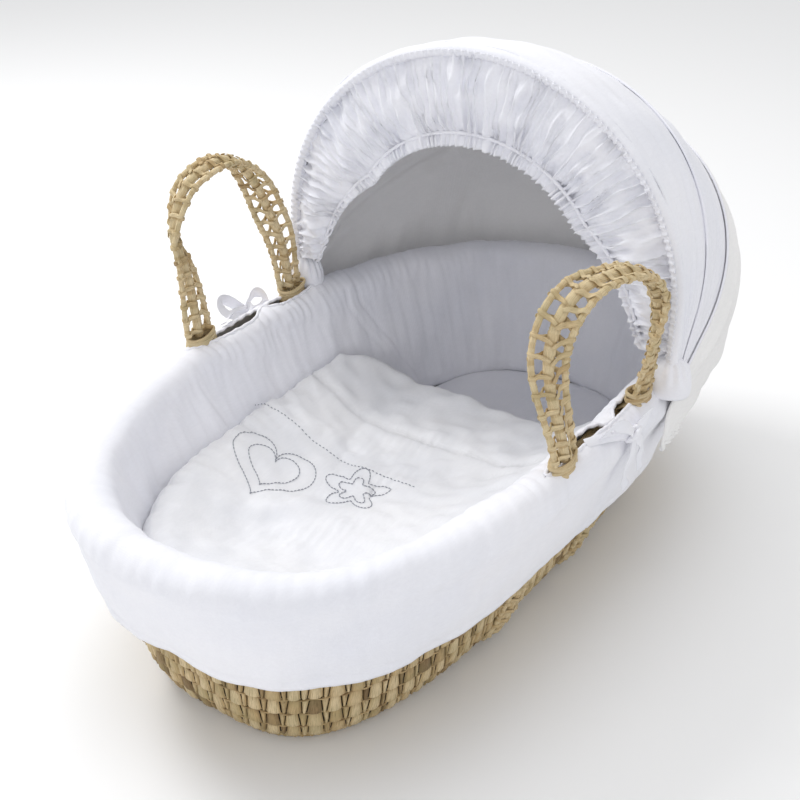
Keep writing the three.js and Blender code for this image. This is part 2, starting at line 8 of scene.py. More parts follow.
import bmesh
import bpy
import numpy as np
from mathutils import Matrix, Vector


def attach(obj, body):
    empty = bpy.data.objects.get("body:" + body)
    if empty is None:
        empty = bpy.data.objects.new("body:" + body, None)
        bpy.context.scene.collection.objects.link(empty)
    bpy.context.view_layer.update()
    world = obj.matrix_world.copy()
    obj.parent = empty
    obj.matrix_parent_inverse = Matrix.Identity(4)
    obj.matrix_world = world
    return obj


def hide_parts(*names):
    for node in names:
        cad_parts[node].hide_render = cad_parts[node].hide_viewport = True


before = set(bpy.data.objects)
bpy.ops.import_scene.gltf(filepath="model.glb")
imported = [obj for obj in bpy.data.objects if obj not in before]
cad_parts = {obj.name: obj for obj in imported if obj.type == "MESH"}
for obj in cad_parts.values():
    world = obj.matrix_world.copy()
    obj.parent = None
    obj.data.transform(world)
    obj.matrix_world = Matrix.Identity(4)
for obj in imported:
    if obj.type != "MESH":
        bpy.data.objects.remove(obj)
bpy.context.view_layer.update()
rng = np.random.default_rng(41)
MM = 0.001

# ---- camera --------------------------------------------------------------------------------------


def look_from(azimuth, elevation, distance, target, lens):
    a, e = math.radians(azimuth), math.radians(elevation)
    back = Vector((math.sin(a) * math.cos(e), -math.cos(a) * math.cos(e), math.sin(e)))
    camera = bpy.data.objects.new("camera", bpy.data.cameras.new("camera"))
    bpy.context.scene.collection.objects.link(camera)
    camera.data.lens = lens
    camera.location = Vector(target) + back * distance
    camera.rotation_mode = "QUATERNION"
    camera.rotation_quaternion = (-back).to_track_quat("-Z", "Y")
    bpy.context.scene.camera = camera


look_from(34.9, 29.1, 1.311, (-0.037, -0.0025, 0.165), 54.9)

# ---- the basket's surface, as in the CAD ---------------------------------------------------------

SIDES = {"right": 1, "left": -1}
LEGS = {"foot": -114.0, "head": 38.0}
BASE = {"half_width": 132, "foot": 325, "head": 325, "centre_y": -11, "n": 3.3}
RIM = {"half_width": 216, "foot": 373, "head": 401, "centre_y": -29, "n": 2.5}
WALL_TOP, END_DROP, BULGE, BULGE_HEIGHT = 205, 0.055, 0.22, 16
COURSES, PLAIT_HEIGHT = 9, 10
BINDING_OFFSET, BINDING_RISE, BINDING_RADIUS = -4.5, 8.4, 8


def lerp(a, b, t):
    return a + (b - a) * t


def smooth(x, a, b):
    t = np.clip((x - a) / (b - a), 0, 1)
    return t * t * (3 - 2 * t)


def lengths_along(points):
    return np.concatenate([[0], np.cumsum(np.linalg.norm(np.diff(points, axis=0), axis=1))])


def outline(z, offset, headwards):
    """Half width, half length, middle and squareness of the wall's outline at a height."""
    height = np.clip(z, 0, WALL_TOP)
    u = BULGE * (1 - np.exp(-height / BULGE_HEIGHT)) + (1 - BULGE) * height / WALL_TOP
    length = np.where(headwards, lerp(BASE["head"], RIM["head"], u), lerp(BASE["foot"], RIM["foot"], u))
    half_width = lerp(BASE["half_width"], RIM["half_width"], u)
    centre_y, n = lerp(BASE["centre_y"], RIM["centre_y"], u), lerp(BASE["n"], RIM["n"], u)
    return half_width + offset, length + offset, centre_y, n


def wall(angle, z, offset):
    """The wall's outer surface moved out by offset. Angle 0 is +X, a quarter turn the head."""
    angle, z, offset = np.broadcast_arrays(angle, z, offset)
    c, s = np.cos(angle), np.sin(angle)
    half_width, half_length, centre_y, n = outline(z, offset, s > 0)
    k = (np.abs(c) ** n + np.abs(s) ** n) ** (-1 / n)
    drop = 1 - END_DROP * (s * k) ** 2
    return np.stack([half_width * c * k, centre_y + half_length * s * k, z * drop], -1)


def side_wall(side, y, z, offset):
    """The same surface on one long side, found from Y."""
    y, z, offset = np.broadcast_arrays(y, z, offset)
    centre_y = outline(z, offset, True)[2]
    half_width, half_length, _, n = outline(z, offset, y > centre_y)
    along = np.clip(np.abs(y - centre_y) / half_length, 0, 1)
    return np.stack([side * half_width * (1 - along**n) ** (1 / n), y, z * (1 - END_DROP * along**2)], -1)


def even_angles(z, offset, lengths):
    """Angles at the given lengths round the wall, and the whole length round."""
    fine = np.linspace(0, 2 * np.pi, 4001)
    reach = lengths_along(wall(fine, z, offset))
    turns = np.floor(np.asarray(lengths) / reach[-1])
    return np.interp(lengths - turns * reach[-1], reach, fine) + 2 * np.pi * turns, reach[-1]


# ---- mesh helpers --------------------------------------------------------------------------------


def grid_faces(rows, cols, wrap_rows=False, wrap_cols=False):
    i, j = np.meshgrid(
        np.arange(rows if wrap_rows else rows - 1), np.arange(cols if wrap_cols else cols - 1), indexing="ij")
    a, b = i * cols + j, ((i + 1) % rows) * cols + j
    c, d = ((i + 1) % rows) * cols + (j + 1) % cols, i * cols + (j + 1) % cols
    return np.stack([a, b, c, d], -1).reshape(-1, 4)


class Pile:
    """Collects patches that end up in one mesh, with a tone and a fibre coordinate at each point; on the plait
    courses the tone also carries painted shade.
    """

    def __init__(self):
        self.points, self.faces, self.tones, self.grains, self.count = [], [], [], [], 0

    def add(self, points, faces, tone=0.5, grain=None):
        points = np.asarray(points, float).reshape(-1, 3)
        self.points.append(points)
        self.faces += [[int(v) + self.count for v in face] for face in faces]
        self.tones.append(np.broadcast_to(np.asarray(tone, float).ravel(), (len(points),)))
        self.grains.append(points * 0.3 if grain is None else np.asarray(grain, float).reshape(-1, 3))
        self.count += len(points)

    def add_tube(self, *args, tone=0.5, **more):
        """Adds a tube with the grain running along it."""
        points, faces, grain, _ = tube(*args, **more)
        self.add(points, faces, tone, grain)

    def add_plain_tube(self, *args, **more):
        self.add(*tube(*args, **more)[:2])

    def make(self, name, material, body, stands_for=(), slot=None):
        mesh = bpy.data.meshes.new(name)
        mesh.from_pydata((np.concatenate(self.points) * MM).tolist(), [], self.faces)
        mesh.attributes.new("tone", "FLOAT", "POINT").data.foreach_set(
            "value", np.concatenate(self.tones).astype(np.float32))
        mesh.attributes.new("grain", "FLOAT_VECTOR", "POINT").data.foreach_set(
            "vector", np.concatenate(self.grains).astype(np.float32).ravel())
        mesh.polygons.foreach_set("use_smooth", [True] * len(mesh.polygons))
        mesh.materials.append(material)
        mesh.update()
        piece = bpy.data.objects.new(name, mesh)
        bpy.context.scene.collection.objects.link(piece)
        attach(piece, body)
        if stands_for:
            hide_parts(*stands_for)
        return piece


def one_piece(points, faces, *args, **more):
    """Makes a piece from a single patch."""
    pile = Pile()
    pile.add(points, faces)
    return pile.make(*args, **more)


def unit(v):
    return v / np.maximum(np.linalg.norm(v, axis=-1, keepdims=True), 1e-9)


def carried(points):
    """Tangents along a line of points, and a normal carried along it without twist."""
    tangent = unit(np.gradient(points, axis=0))
    normal = np.zeros_like(points)
    start = np.eye(3)[np.argmin(np.abs(tangent[0]))]
    normal[0] = unit(start - tangent[0] * (start @ tangent[0]))
    for i in range(1, len(points)):
        moved = normal[i - 1] - tangent[i] * (normal[i - 1] @ tangent[i])
        normal[i] = moved / np.linalg.norm(moved)
    return tangent, normal


def end_caps(rings, sides):
    return [list(range(sides)), list(range((rings - 1) * sides, rings * sides))[::-1]]


def tube(points, radius, sides=10, normal=None, closed=False, flatten=1.0):
    """A tube round a line. radius(length, turn) may vary; flatten narrows it along the normal."""
    tangent, own = carried(points)
    if closed:
        tangent = unit(np.roll(points, -1, 0) - np.roll(points, 1, 0))
    normal = own if normal is None else unit(normal - tangent * (normal * tangent).sum(-1, keepdims=True))
    side = np.cross(tangent, normal)
    length = lengths_along(points)
    turn = 2 * np.pi * np.arange(sides) / sides
    fixed = np.full((len(points), sides), 0.0 if callable(radius) else radius)
    reach = radius(length[:, None], turn[None, :]) if callable(radius) else fixed
    ring = (points[:, None] + normal[:, None] * (np.cos(turn) * flatten * reach)[..., None]
            + side[:, None] * (np.sin(turn) * reach)[..., None])
    faces = grid_faces(len(points), sides, closed, True).tolist()
    if not closed:
        faces += end_caps(len(points), sides)
    grain = np.stack(np.broadcast_arrays(turn[None, :] * np.mean(reach), length[:, None], 0.0), -1)
    return ring.reshape(-1, 3), faces, grain, length


def along_radius(values):
    """A tube's radius from one value at each point of its line."""
    return lambda length, turn: values[:, None] * np.ones_like(turn)


def wrapped(radius, pitch, depth, slant=1.0, seed=0):
    """A rope's radius: bands of leaf wound round it side by side, with a crease between them."""
    def reach(length, turn):
        wander = 0.35 * np.sin(length * 0.23 + seed) + 0.2 * np.sin(length * 0.61 + 2 * seed)
        wave = np.abs(np.cos(np.pi * (length / pitch + slant * turn / (2 * np.pi) + wander)))
        return radius * (1 - depth + depth * wave**0.45) * (1 + 0.04 * np.sin(length * 0.11 + seed))
    return reach


def spline(points, count):
    """Even points along a centripetal Catmull-Rom curve."""
    p = np.asarray(points, float)
    p = np.vstack([2 * p[0] - p[1], p, 2 * p[-1] - p[-2]])
    out = []
    for i in range(1, len(p) - 2):
        gaps = np.linalg.norm(np.diff(p[i - 1:i + 3], axis=0), axis=1)
        knots = np.concatenate([[0], np.cumsum(gaps**0.5)])
        t = np.linspace(knots[1], knots[2], 40, endpoint=i == len(p) - 3)[:, None]
        level = [p[i - 1 + k] for k in range(4)]
        for depth in (1, 2, 3):
            nxt = []
            for k in range(len(level) - 1):
                lo, hi = (k, k + depth) if depth != 2 else (k, k + 2)
                lo, hi = (1, 2) if depth == 3 else (lo, hi)
                nxt.append((knots[hi] - t) / (knots[hi] - knots[lo]) * level[k]
                           + (t - knots[lo]) / (knots[hi] - knots[lo]) * level[k + 1])
            level = nxt
        out.append(level[0])
    fine = np.vstack(out)
    reach = lengths_along(fine)
    even = np.linspace(0, reach[-1], count)
    return np.stack([np.interp(even, reach, fine[:, k]) for k in range(3)], -1)


class Ripple:
    """Smooth repeatable waves in two directions, built from a few sines of chosen lengths."""

    def __init__(self, seed, wave_u, wave_v, terms=9):
        own = np.random.default_rng(seed)
        self.k = np.stack([own.normal(0, 1, terms) / wave_u, own.normal(0, 1, terms) / wave_v], 1) * 2 * np.pi
        self.phase, self.terms = own.uniform(0, 2 * np.pi, terms), terms

    def __call__(self, u, v):
        total = sum(np.sin(k[0] * u + k[1] * v + p) for k, p in zip(self.k, self.phase))
        return total / math.sqrt(self.terms / 2)


# ---- materials -----------------------------------------------------------------------------------


def linear(red, green, blue):
    """A display colour, 0 to 255, as the shader's linear one."""
    def one(c):
        return c / 255 / 12.92 if c <= 10 else ((c / 255 + 0.055) / 1.055) ** 2.4
    return one(red), one(green), one(blue), 1


class Nodes:
    def __init__(self, name, roughness, **fixed):
        self.material = bpy.data.materials.new(name)
        self.material.use_nodes = True
        self.tree = self.material.node_tree
        self.shader = self.tree.nodes["Principled BSDF"]
        self.shader.inputs["Roughness"].default_value = roughness
        for socket, value in fixed.items():
            self.shader.inputs[socket.replace("_", " ")].default_value = value

    def new(self, kind, **settings):
        node = self.tree.nodes.new(kind)
        for key, value in settings.items():
            if hasattr(node, key):
                setattr(node, key, value)
            else:
                node.inputs[key.replace("_", " ")].default_value = value
        return node

    def link(self, a, b):
        self.tree.links.new(a, b)

    def spread(self, node, scale):
        """Feeds a texture the object's own coordinates, in metres, times scale."""
        place, mapping = self.new("ShaderNodeTexCoord"), self.new("ShaderNodeMapping")
        mapping.inputs["Scale"].default_value = scale if hasattr(scale, "__len__") else (scale,) * 3
        self.link(place.outputs["Object"], mapping.inputs["Vector"])
        self.link(mapping.outputs["Vector"], node.inputs["Vector"])
        return node

    def ramp(self, source, *stops):
        node = self.new("ShaderNodeValToRGB")
        while len(node.color_ramp.elements) < len(stops):
            node.color_ramp.elements.new(0.5)
        for element, (place, colour) in zip(node.color_ramp.elements, stops):
            element.position, element.color = place, colour
        self.link(source, node.inputs["Fac"])
        return node.outputs["Color"]

    def mix(self, kind, amount, a, b):
        node = self.new("ShaderNodeMix", data_type="RGBA", blend_type=kind)
        for socket, value in ((node.inputs["Factor"], amount), (node.inputs["A"], a), (node.inputs["B"], b)):
            if isinstance(value, bpy.types.NodeSocket):
                self.link(value, socket)
            else:
                socket.default_value = value
        return node.outputs["Result"]

    def colour(self, source):
        self.link(source, self.shader.inputs["Base Color"])

    def bump(self, source, strength, distance):
        node = self.new("ShaderNodeBump", Strength=strength, Distance=distance)
        self.link(source, node.inputs["Height"])
        if self.shader.inputs["Normal"].is_linked:
            self.link(self.shader.inputs["Normal"].links[0].from_socket, node.inputs["Normal"])
        self.link(node.outputs["Normal"], self.shader.inputs["Normal"])


def leaf_material(name, pale, middle, dark, green):
    made = Nodes(name, 0.62, Specular_IOR_Level=0.35)
    tone = made.new("ShaderNodeAttribute", attribute_name="tone")
    grain = made.new("ShaderNodeAttribute", attribute_name="grain")
    stretch = made.new("ShaderNodeMapping")
    stretch.inputs["Scale"].default_value = (1.6, 0.09, 1.0)
    made.link(grain.outputs["Vector"], stretch.inputs["Vector"])
    fibre = made.new("ShaderNodeTexNoise", Scale=1.0, Detail=5.0, Roughness=0.65)
    made.link(stretch.outputs["Vector"], fibre.inputs["Vector"])
    stain = made.spread(made.new("ShaderNodeTexNoise", Scale=1.0, Detail=3.0), 38)
    # The tone attribute picks the leaf colour: its own tone, and on the plait courses also painted shade at the
    # facet edges.
    base = made.ramp(tone.outputs["Fac"], (0.0, dark), (0.35, middle), (0.75, pale), (1.0, pale))
    streaks = made.ramp(fibre.outputs["Fac"], (0.3, (0.36, 0.32, 0.25, 1)),
                        (0.47, (0.86, 0.84, 0.8, 1)), (0.7, (1.12, 1.1, 1.05, 1)))
    streaked = made.mix("MULTIPLY", 0.95, base, streaks)
    patch = made.ramp(stain.outputs["Fac"], (0.45, (0, 0, 0, 1)), (0.72, (0.55, 0.55, 0.55, 1)))
    greened = made.mix("MIX", patch, streaked, green)
    made.colour(made.mix("MIX", 0.7, streaked, greened))
    made.bump(fibre.outputs["Fac"], 0.45, 0.0006)
    rough = made.ramp(fibre.outputs["Fac"], (0.3, (0.72, 0.72, 0.72, 1)), (0.7, (0.5, 0.5, 0.5, 1)))
    made.link(rough, made.shader.inputs["Roughness"])
    return made.material


def cotton_material(name, colour, shade, weave=1500, rough=0.86):
    made = Nodes(name, rough, Specular_IOR_Level=0.25, Sheen_Weight=0.25, Sheen_Roughness=0.5)
    cloud = made.spread(made.new("ShaderNodeTexNoise", Scale=1.0, Detail=4.0), 9)
    slub = made.spread(made.new("ShaderNodeTexNoise", Scale=1.0, Detail=2.0), (420, 90, 420))
    tinted = made.ramp(cloud.outputs["Fac"], (0.3, shade), (0.62, colour))
    thread = made.ramp(slub.outputs["Fac"], (0.3, (0.965, 0.965, 0.97, 1)), (0.7, (1, 1, 1, 1)))
    made.colour(made.mix("MULTIPLY", 0.8, tinted, thread))
    threads = [made.spread(made.new("ShaderNodeTexWave", Scale=1.0, Distortion=1.5, Detail=1.0,
                                    bands_direction=way), weave / 6.28) for way in ("X", "Z")]
    both = made.new("ShaderNodeMath", operation="ADD")
    for k in range(2):
        made.link(threads[k].outputs["Fac"], both.inputs[k])
    made.bump(both.outputs[0], 0.12, 0.0003)
    made.bump(slub.outputs["Fac"], 0.15, 0.0004)
    crumple = made.spread(made.new("ShaderNodeTexNoise", Scale=1.0, Detail=5.0, Distortion=0.6), 42)
    made.bump(crumple.outputs["Fac"], 0.16, 0.003)
    return made.material


def plain_material(name, colour, rough, metallic=0.0, speck=60):
    made = Nodes(name, rough, Metallic=metallic)
    wear = made.spread(made.new("ShaderNodeTexNoise", Scale=1.0, Detail=6.0), speck)
    worn = made.ramp(wear.outputs["Fac"], (0.3, (0.8, 0.8, 0.8, 1)), (0.65, (1, 1, 1, 1)))
    made.colour(made.mix("MULTIPLY", 0.5, colour, worn))
    grey = [(value,) * 3 + (1,) for value in (rough + 0.12, rough - 0.05)]
    polished = made.ramp(wear.outputs["Fac"], (0.3, grey[0]), (0.7, grey[1]))
    made.link(polished, made.shader.inputs["Roughness"])
    made.bump(wear.outputs["Fac"], 0.1, 0.0004)
    return made.material


LEAF = leaf_material("palm_leaf", linear(222, 203, 165), linear(193, 168, 124),
                     linear(100, 76, 47), linear(148, 140, 96))
CORD = leaf_material("palm_cord", linear(226, 208, 171), linear(200, 175, 132),
                     linear(124, 94, 58), linear(160, 150, 106))
# A dark leaf backing behind the plait facets: painted shade for the gaps between them.
SHADE_BACKING = leaf_material("palm_backing_painted_shade", linear(88, 68, 40), linear(70, 53, 31), linear(44, 32, 18), linear(58, 50, 28))
COTTON = cotton_material("white_cotton", linear(244, 244, 249), linear(237, 238, 245))
CREAM = cotton_material("cream_cotton", linear(247, 246, 245), linear(241, 240, 239))
QUILT = cotton_material("quilt_cotton", linear(241, 241, 243), linear(234, 235, 239), weave=1300)
FOAM = plain_material("wadding", linear(243, 238, 222), 0.9, speck=400)
STEEL = plain_material("spring_steel", linear(170, 172, 176), 0.35, 1.0, speck=300)
PLASTIC = plain_material("clip_plastic", linear(238, 238, 234), 0.42)
THREAD = plain_material("grey_thread", linear(150, 153, 162), 0.6, speck=900)

# ---- the woven wall ------------------------------------------------------------------------------


def leaf_patch(left, right, z0, z1, lift, slots, angle_at, kind):
    """One folded leaf of a plait: edges left and right at its foot and top, pillowed and tucked under, with
    painted shade towards its edges and tucks.
    """
    u, v = np.meshgrid(np.linspace(0, 1, 7), np.array([0, 0.05, 0.14, 0.38, 0.65, 0.88, 1.0]), indexing="ij")
    along = lerp(lerp(left[0], left[1], v), lerp(right[0], right[1], v), u)
    ridge = 1 - np.abs(2 * u - 1) ** 2.6
    tuck = -2.4 * np.exp(-((v / 0.06) ** 2)) - 1.6 * np.exp(-(((1 - v) / 0.08) ** 2))
    crease = 0.35 * np.sin(u * slots[0] + v * slots[1]) * np.sin(np.pi * v)
    out = 0.9 + lift + 3.1 * (1 - v) + 2.3 * ridge - 1.6 + tuck + crease
    points = wall(angle_at(along), lerp(z0, z1, v), out)
    grain = np.stack([u * (right[0] - left[0]) + kind * 37.0, v * (z1 - z0), np.full_like(u, kind)], -1)
    # Painted shade: darker towards the facet's side edges and its tucked foot and top, where the creases fall in
    # shade.
    painted_tuck_shade = np.clip(0.5 + 0.6 * np.sin(np.pi * np.clip(v * 0.9 + 0.06, 0, 1)), 0, 1)
    shade = np.clip(0.85 * ridge + 0.15, 0, 1) * painted_tuck_shade
    return points, shade, grain


def plaited_course(number):
    height = (WALL_TOP - PLAIT_HEIGHT) / COURSES
    z0 = PLAIT_HEIGHT + number * height
    middle, size = z0 + height / 2, even_angles(z0 + height / 2, 0, [0.0])[1]
    angle_at = lambda s: even_angles(middle, 0, s)[0]
    pairs = round(size / 18.6)
    widths = np.stack([rng.normal(12.1, 0.9, pairs), rng.normal(6.5, 0.7, pairs)], 1).ravel()
    edges = np.concatenate([[0], np.cumsum(widths * size / widths.sum())]) + number * 7.3
    lean = np.concatenate([rng.normal(0, 0.55, len(edges) - 1), [0]])
    lean[-1] = lean[0]
    splay = np.where(np.arange(len(edges)) % 2 == 0, -0.9, 0.9)
    pile = Pile()
    for i in range(len(edges) - 1):
        wide = i % 2 == 0
        margin = -0.1 if wide else -0.75
        tilt = splay + lean
        left = (edges[i] + tilt[i] - margin, edges[i] - tilt[i] - margin)
        right = (edges[i + 1] + tilt[i + 1] + margin, edges[i + 1] - tilt[i + 1] + margin)
        lift = (0.55 if wide else -0.35) + rng.normal(0, 0.22)
        low, high = z0 + 0.9 + rng.normal(0, 0.5), z0 + height - 0.9 + rng.normal(0, 0.5)
        points, shade, grain = leaf_patch(left, right, low, high, lift, rng.uniform(4, 16, 2), angle_at,
                                          rng.uniform(0, 90))
        # Each facet's own random tone, a fifth lower on the narrow facets, times the painted shade at its edges
        # and tucks.
        tone = np.clip(rng.beta(2.4, 1.7), 0.05, 1) * (1.0 if wide else 0.8)
        pile.add(points, grid_faces(7, 7), np.clip(tone * (0.35 + 0.65 * shade), 0, 1), grain)
    return pile


def seam_twine(number):
    """Thin twine that sews one course to the next, dipping in and out of the gap."""
    z = PLAIT_HEIGHT + number * (WALL_TOP - PLAIT_HEIGHT) / COURSES
    size = even_angles(z, 0, [0.0])[1]
    count = int(size / 2.6)
    s = np.arange(count) * size / count
    dip = np.sin(2 * np.pi * s / (size / round(size / 18.6)) + number)
    line = wall(even_angles(z, 0, s)[0], z + 0.7 * np.sin(s * 0.31 + number), 1.5 + 1.0 * dip)
    points, faces, grain, _ = tube(line, wrapped(0.95, 2.4, 0.3, 1.0, number), 6, closed=True)
    pile = Pile()
    pile.add(points, faces, 0.22 + 0.15 * np.sin(np.repeat(s, 6) * 0.17), grain)
    return pile


def repaint(node, material):
    """Gives a CAD node that stays visible its material."""
    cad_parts[node].data.materials.clear()
    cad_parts[node].data.materials.append(material)


repaint("basket_floor", LEAF)
for i in range(COURSES):
    # The CAD courses stay as a dark backing: painted shade that shows through the gaps between the facets.
    repaint(f"wall_course_{i + 1}", SHADE_BACKING)
    plaited_course(i).make(f"plait_course_{i + 1}", LEAF, "basket", slot=f"wall_course_{i + 1}")
    if i:
        seam_twine(i).make(f"seam_twine_{i}", CORD, "basket", slot=f"wall_course_{i}")


def wall_ring(z, offset, step):
    size = even_angles(z, offset, [0.0])[1]
    count = int(size / step)
    angles = even_angles(z, offset, np.arange(count) * size / count)[0]
    line = wall(angles, z, offset)
    return line, unit(wall(angles, z, offset + 5) - line)


def braid(line, normal, radius, pitch, strands, width, closed, pile, seed=0, tone=0.6):
    """A plait round a line: fat strands wound round each other."""
    length = lengths_along(line)
    tangent = unit(np.roll(line, -1, 0) - np.roll(line, 1, 0)) if closed else unit(np.gradient(line, axis=0))
    side = np.cross(tangent, normal)
    turns = round(length[-1] / pitch) if closed else length[-1] / pitch
    for strand in range(strands):
        phase = 2 * np.pi * (turns * length / length[-1] + strand / strands)
        path = (line + normal * (radius * 0.55 * np.cos(phase))[:, None]
                + side * (radius * 0.75 * np.sin(phase))[:, None])
        pile.add_tube(path, wrapped(width, 5.5, 0.12, 1.0, seed + strand), 8, normal, closed, 0.75,
                      tone=np.clip(tone + 0.18 * np.sin(phase.repeat(8) * 0.37 + strand), 0, 1))


foot_line, foot_out = wall_ring(6.0, -1.2, 3.0)
foot_pile = Pile()
braid(foot_line, foot_out, 3.6, 15, 3, 2.7, True, foot_pile, tone=0.45)
foot_pile.make("floor_edge_plait", LEAF, "basket", ["floor_plait"])

rim_line, rim_out = wall_ring(WALL_TOP, BINDING_OFFSET, 1.7)
rim_line[:, 2] += BINDING_RISE
rim_pile = Pile()
rim_radius = wrapped(BINDING_RADIUS, 7.5, 0.13, 1.0, 3)
rim_points, rim_faces, rim_grain, rim_length = tube(rim_line, rim_radius, 14, rim_out, True)
rim_tone = np.clip(0.62 + 0.22 * np.sin(np.floor(rim_length / 7.5).repeat(14) * 2.3), 0, 1)
rim_pile.add(rim_points, rim_faces, rim_tone, rim_grain)
rim_pile.make("rim_roll", CORD, "basket", ["rim_binding"])
inner_line, inner_out = wall_ring(WALL_TOP, -16.0, 2.4)
inner_line[:, 2] += 7.5
inner_pile = Pile()
braid(inner_line, inner_out, 4.0, 19, 3, 4.0, True, inner_pile, 5, 0.6)
inner_pile.make("rim_inner_plait", CORD, "basket", slot="rim_binding")

# ---- straps, lashings and handles ----------------------------------------------------------------

STRAP_HALF, EDGE_RADIUS, CORE_RADIUS = 15.5, 3.2, 5.4
HANDLE_LINES = {
    "right": [(0, -76, 3), (-4, -82, 34), (-13, -86, 70), (-17, -86, 105), (-15, -74, 137), (-8, -52, 155),
              (2, -16, 158), (10, 20, 150), (15, 46, 130), (14, 62, 104), (11, 72, 71), (6, 76, 32), (2, 76, 3)],
    "left": [(0, -76, 3), (2, -80, 48), (6, -83, 84), (14, -85, 111), (13, -82, 134), (9, -68, 162),
             (5, -40, 176), (8, -8, 174), (13, 20, 158), (14, 42, 132), (12, 58, 98), (7, 70, 60), (2, 76, 3)],
}


def handle_place(side_name):
    """Places a point of the handle: how far along from 0 to 1, across the strap, and out of its face."""
    side = SIDES[side_name]
    line = spline([(side * out, y, z) for out, y, z in HANDLE_LINES[side_name]], 801)
    line = line + np.array([side * (RIM["half_width"] + 1), (LEGS["foot"] + LEGS["head"]) / 2, 234])
    along = unit(np.gradient(line, axis=0))
    outwards = unit(np.array([side, 0, 0]) - side * along[:, :1] * along)
    inwards = np.cross(along, outwards) * side
    share = np.linspace(0, 1, 801)
    turn = (np.pi / 2 * np.sin(np.pi * share) ** 2)[:, None]
    across = inwards * np.cos(turn) + outwards * np.sin(turn)
    face = outwards * np.cos(turn) - inwards * np.sin(turn)
    size = np.linalg.norm(np.diff(line, axis=0), axis=1).sum()

    def place(t, w, h):
        pick = lambda values: np.stack([np.interp(t, share, values[:, k]) for k in range(3)], -1)
        return pick(line) + pick(across) * np.asarray(w)[..., None] + pick(face) * np.asarray(h)[..., None]
    return place, size


def wall_place(side_name, y0, z0, z1):
    """The same for a strap that runs up the outside of the wall."""
    side = SIDES[side_name]

    def place(t, w, h):
        t, w, h = np.broadcast_arrays(np.asarray(t, float), w, h)
        return side_wall(side, y0 + w, lerp(z0, z1, np.clip(t, 0, 1)), 4.4 + h)
    return place, (z1 - z0) * 1.03


def strip(place, size, stations, width, thickness, pile, tone, sides=8):
    """A flat leaf strip through stations of (millimetres along, across, out of the face)."""
    path = spline(stations, 13)
    t = path[:, 0] / size
    line = place(t, path[:, 1], path[:, 2])
    raised = place(t, path[:, 1], path[:, 2] + 1.0)
    step = np.linalg.norm(np.gradient(path, axis=0), axis=1)
    bulge = np.gradient(path[:, 2]) / np.maximum(step, 1e-6)
    sideways = place(t, path[:, 1] + 1.0, path[:, 2])
    normal = (raised - line) - (sideways - line) * (np.sign(path[-1, 1] - path[0, 1]) * bulge)[:, None]
    taper = 1 - 0.35 * np.abs(np.linspace(-1, 1, 13)) ** 3
    points, faces, grain, _ = tube(line, along_radius(width / 2 * taper), sides, normal, False, thickness / width)
    pile.add(points, faces, tone, grain + np.array([tone * 50, 0, 0]))


# One loop of the lattice, from the core round the edge cord: share of lean, across, out of the face.
LOOP_STATIONS = [(-0.5, 4.4, 4.9), (-0.2, 7.6, 1.7), (0, 10.0, 0.9), (0.3, 12.4, 1.9), (0.6, 15.4, 3.9),
                 (0.8, 18.4, 1.4), (0.9, 19.0, -0.6)]


def open_strap(place, size, label, body, nodes, cell=15.5):
    """Two wrapped edge cords and a fat wrapped core, tied together by strips with open windows between."""
    steps = np.linspace(0, 1, int(size / 1.25))
    zero = np.zeros_like(steps)
    face = place(steps, zero, zero + 1) - place(steps, zero, zero)
    makers = {"core": (0, CORE_RADIUS, 5.4), "outer": (-STRAP_HALF, EDGE_RADIUS, 4.6),
              "inner": (STRAP_HALF, EDGE_RADIUS, 4.6)}
    for cord_name, (w, radius, pitch) in makers.items():
        wander = 0.5 * np.sin(steps * 31 + w) if w else 0
        line = place(steps, zero + w + wander, zero)
        seed = rng.uniform(0, 9)
        around = wrapped(radius, pitch, 0.2, 0.6, seed)
        points, faces, grain, length = tube(line, around, 12, face, False, 0.9)
        band = np.floor(length / pitch + seed).repeat(12)
        pile = Pile()
        pile.add(points, faces, np.clip(0.66 + 0.2 * np.sin(band * 2.1) + 0.1 * np.sin(band * 0.7), 0, 1), grain)
        if nodes.get(cord_name):
            pile.make(f"{label}_{cord_name}", CORD, body, [nodes[cord_name]])
        else:
            nodes.setdefault("shared", Pile()).add(points, faces, np.concatenate(pile.tones), grain)
    cells = max(3, int(size / cell))
    for edge_name, edge in (("outer", -1), ("inner", 1)):
        pile = Pile() if nodes.get("lattice") else nodes["shared"]
        for k in range(cells):
            middle = (k + 0.5) * size / cells + rng.normal(0, 0.8)
            slant = (1.5 if edge < 0 else 6.0) + rng.normal(0, 0.9)
            for front in (1, -1):
                lean = slant * front
                stations = [(middle - lean * 0.9 - 1, edge * 0.2, front * 6.0)]
                stations += [(middle + lean * along, edge * across, front * height)
                             for along, across, height in LOOP_STATIONS]
                strip(place, size, stations, rng.uniform(4.2, 5.4) + (0.8 if edge > 0 else 0), 1.9, pile,
                      float(np.clip(rng.normal(0.6, 0.16), 0.1, 1)))
        if nodes.get("lattice"):
            pile.make(f"{label}_loops_{edge_name}", CORD, body, [f"{nodes['lattice']}_{edge_name}"])


def random_tone():
    return float(np.clip(rng.normal(0.62, 0.15), 0.1, 1))


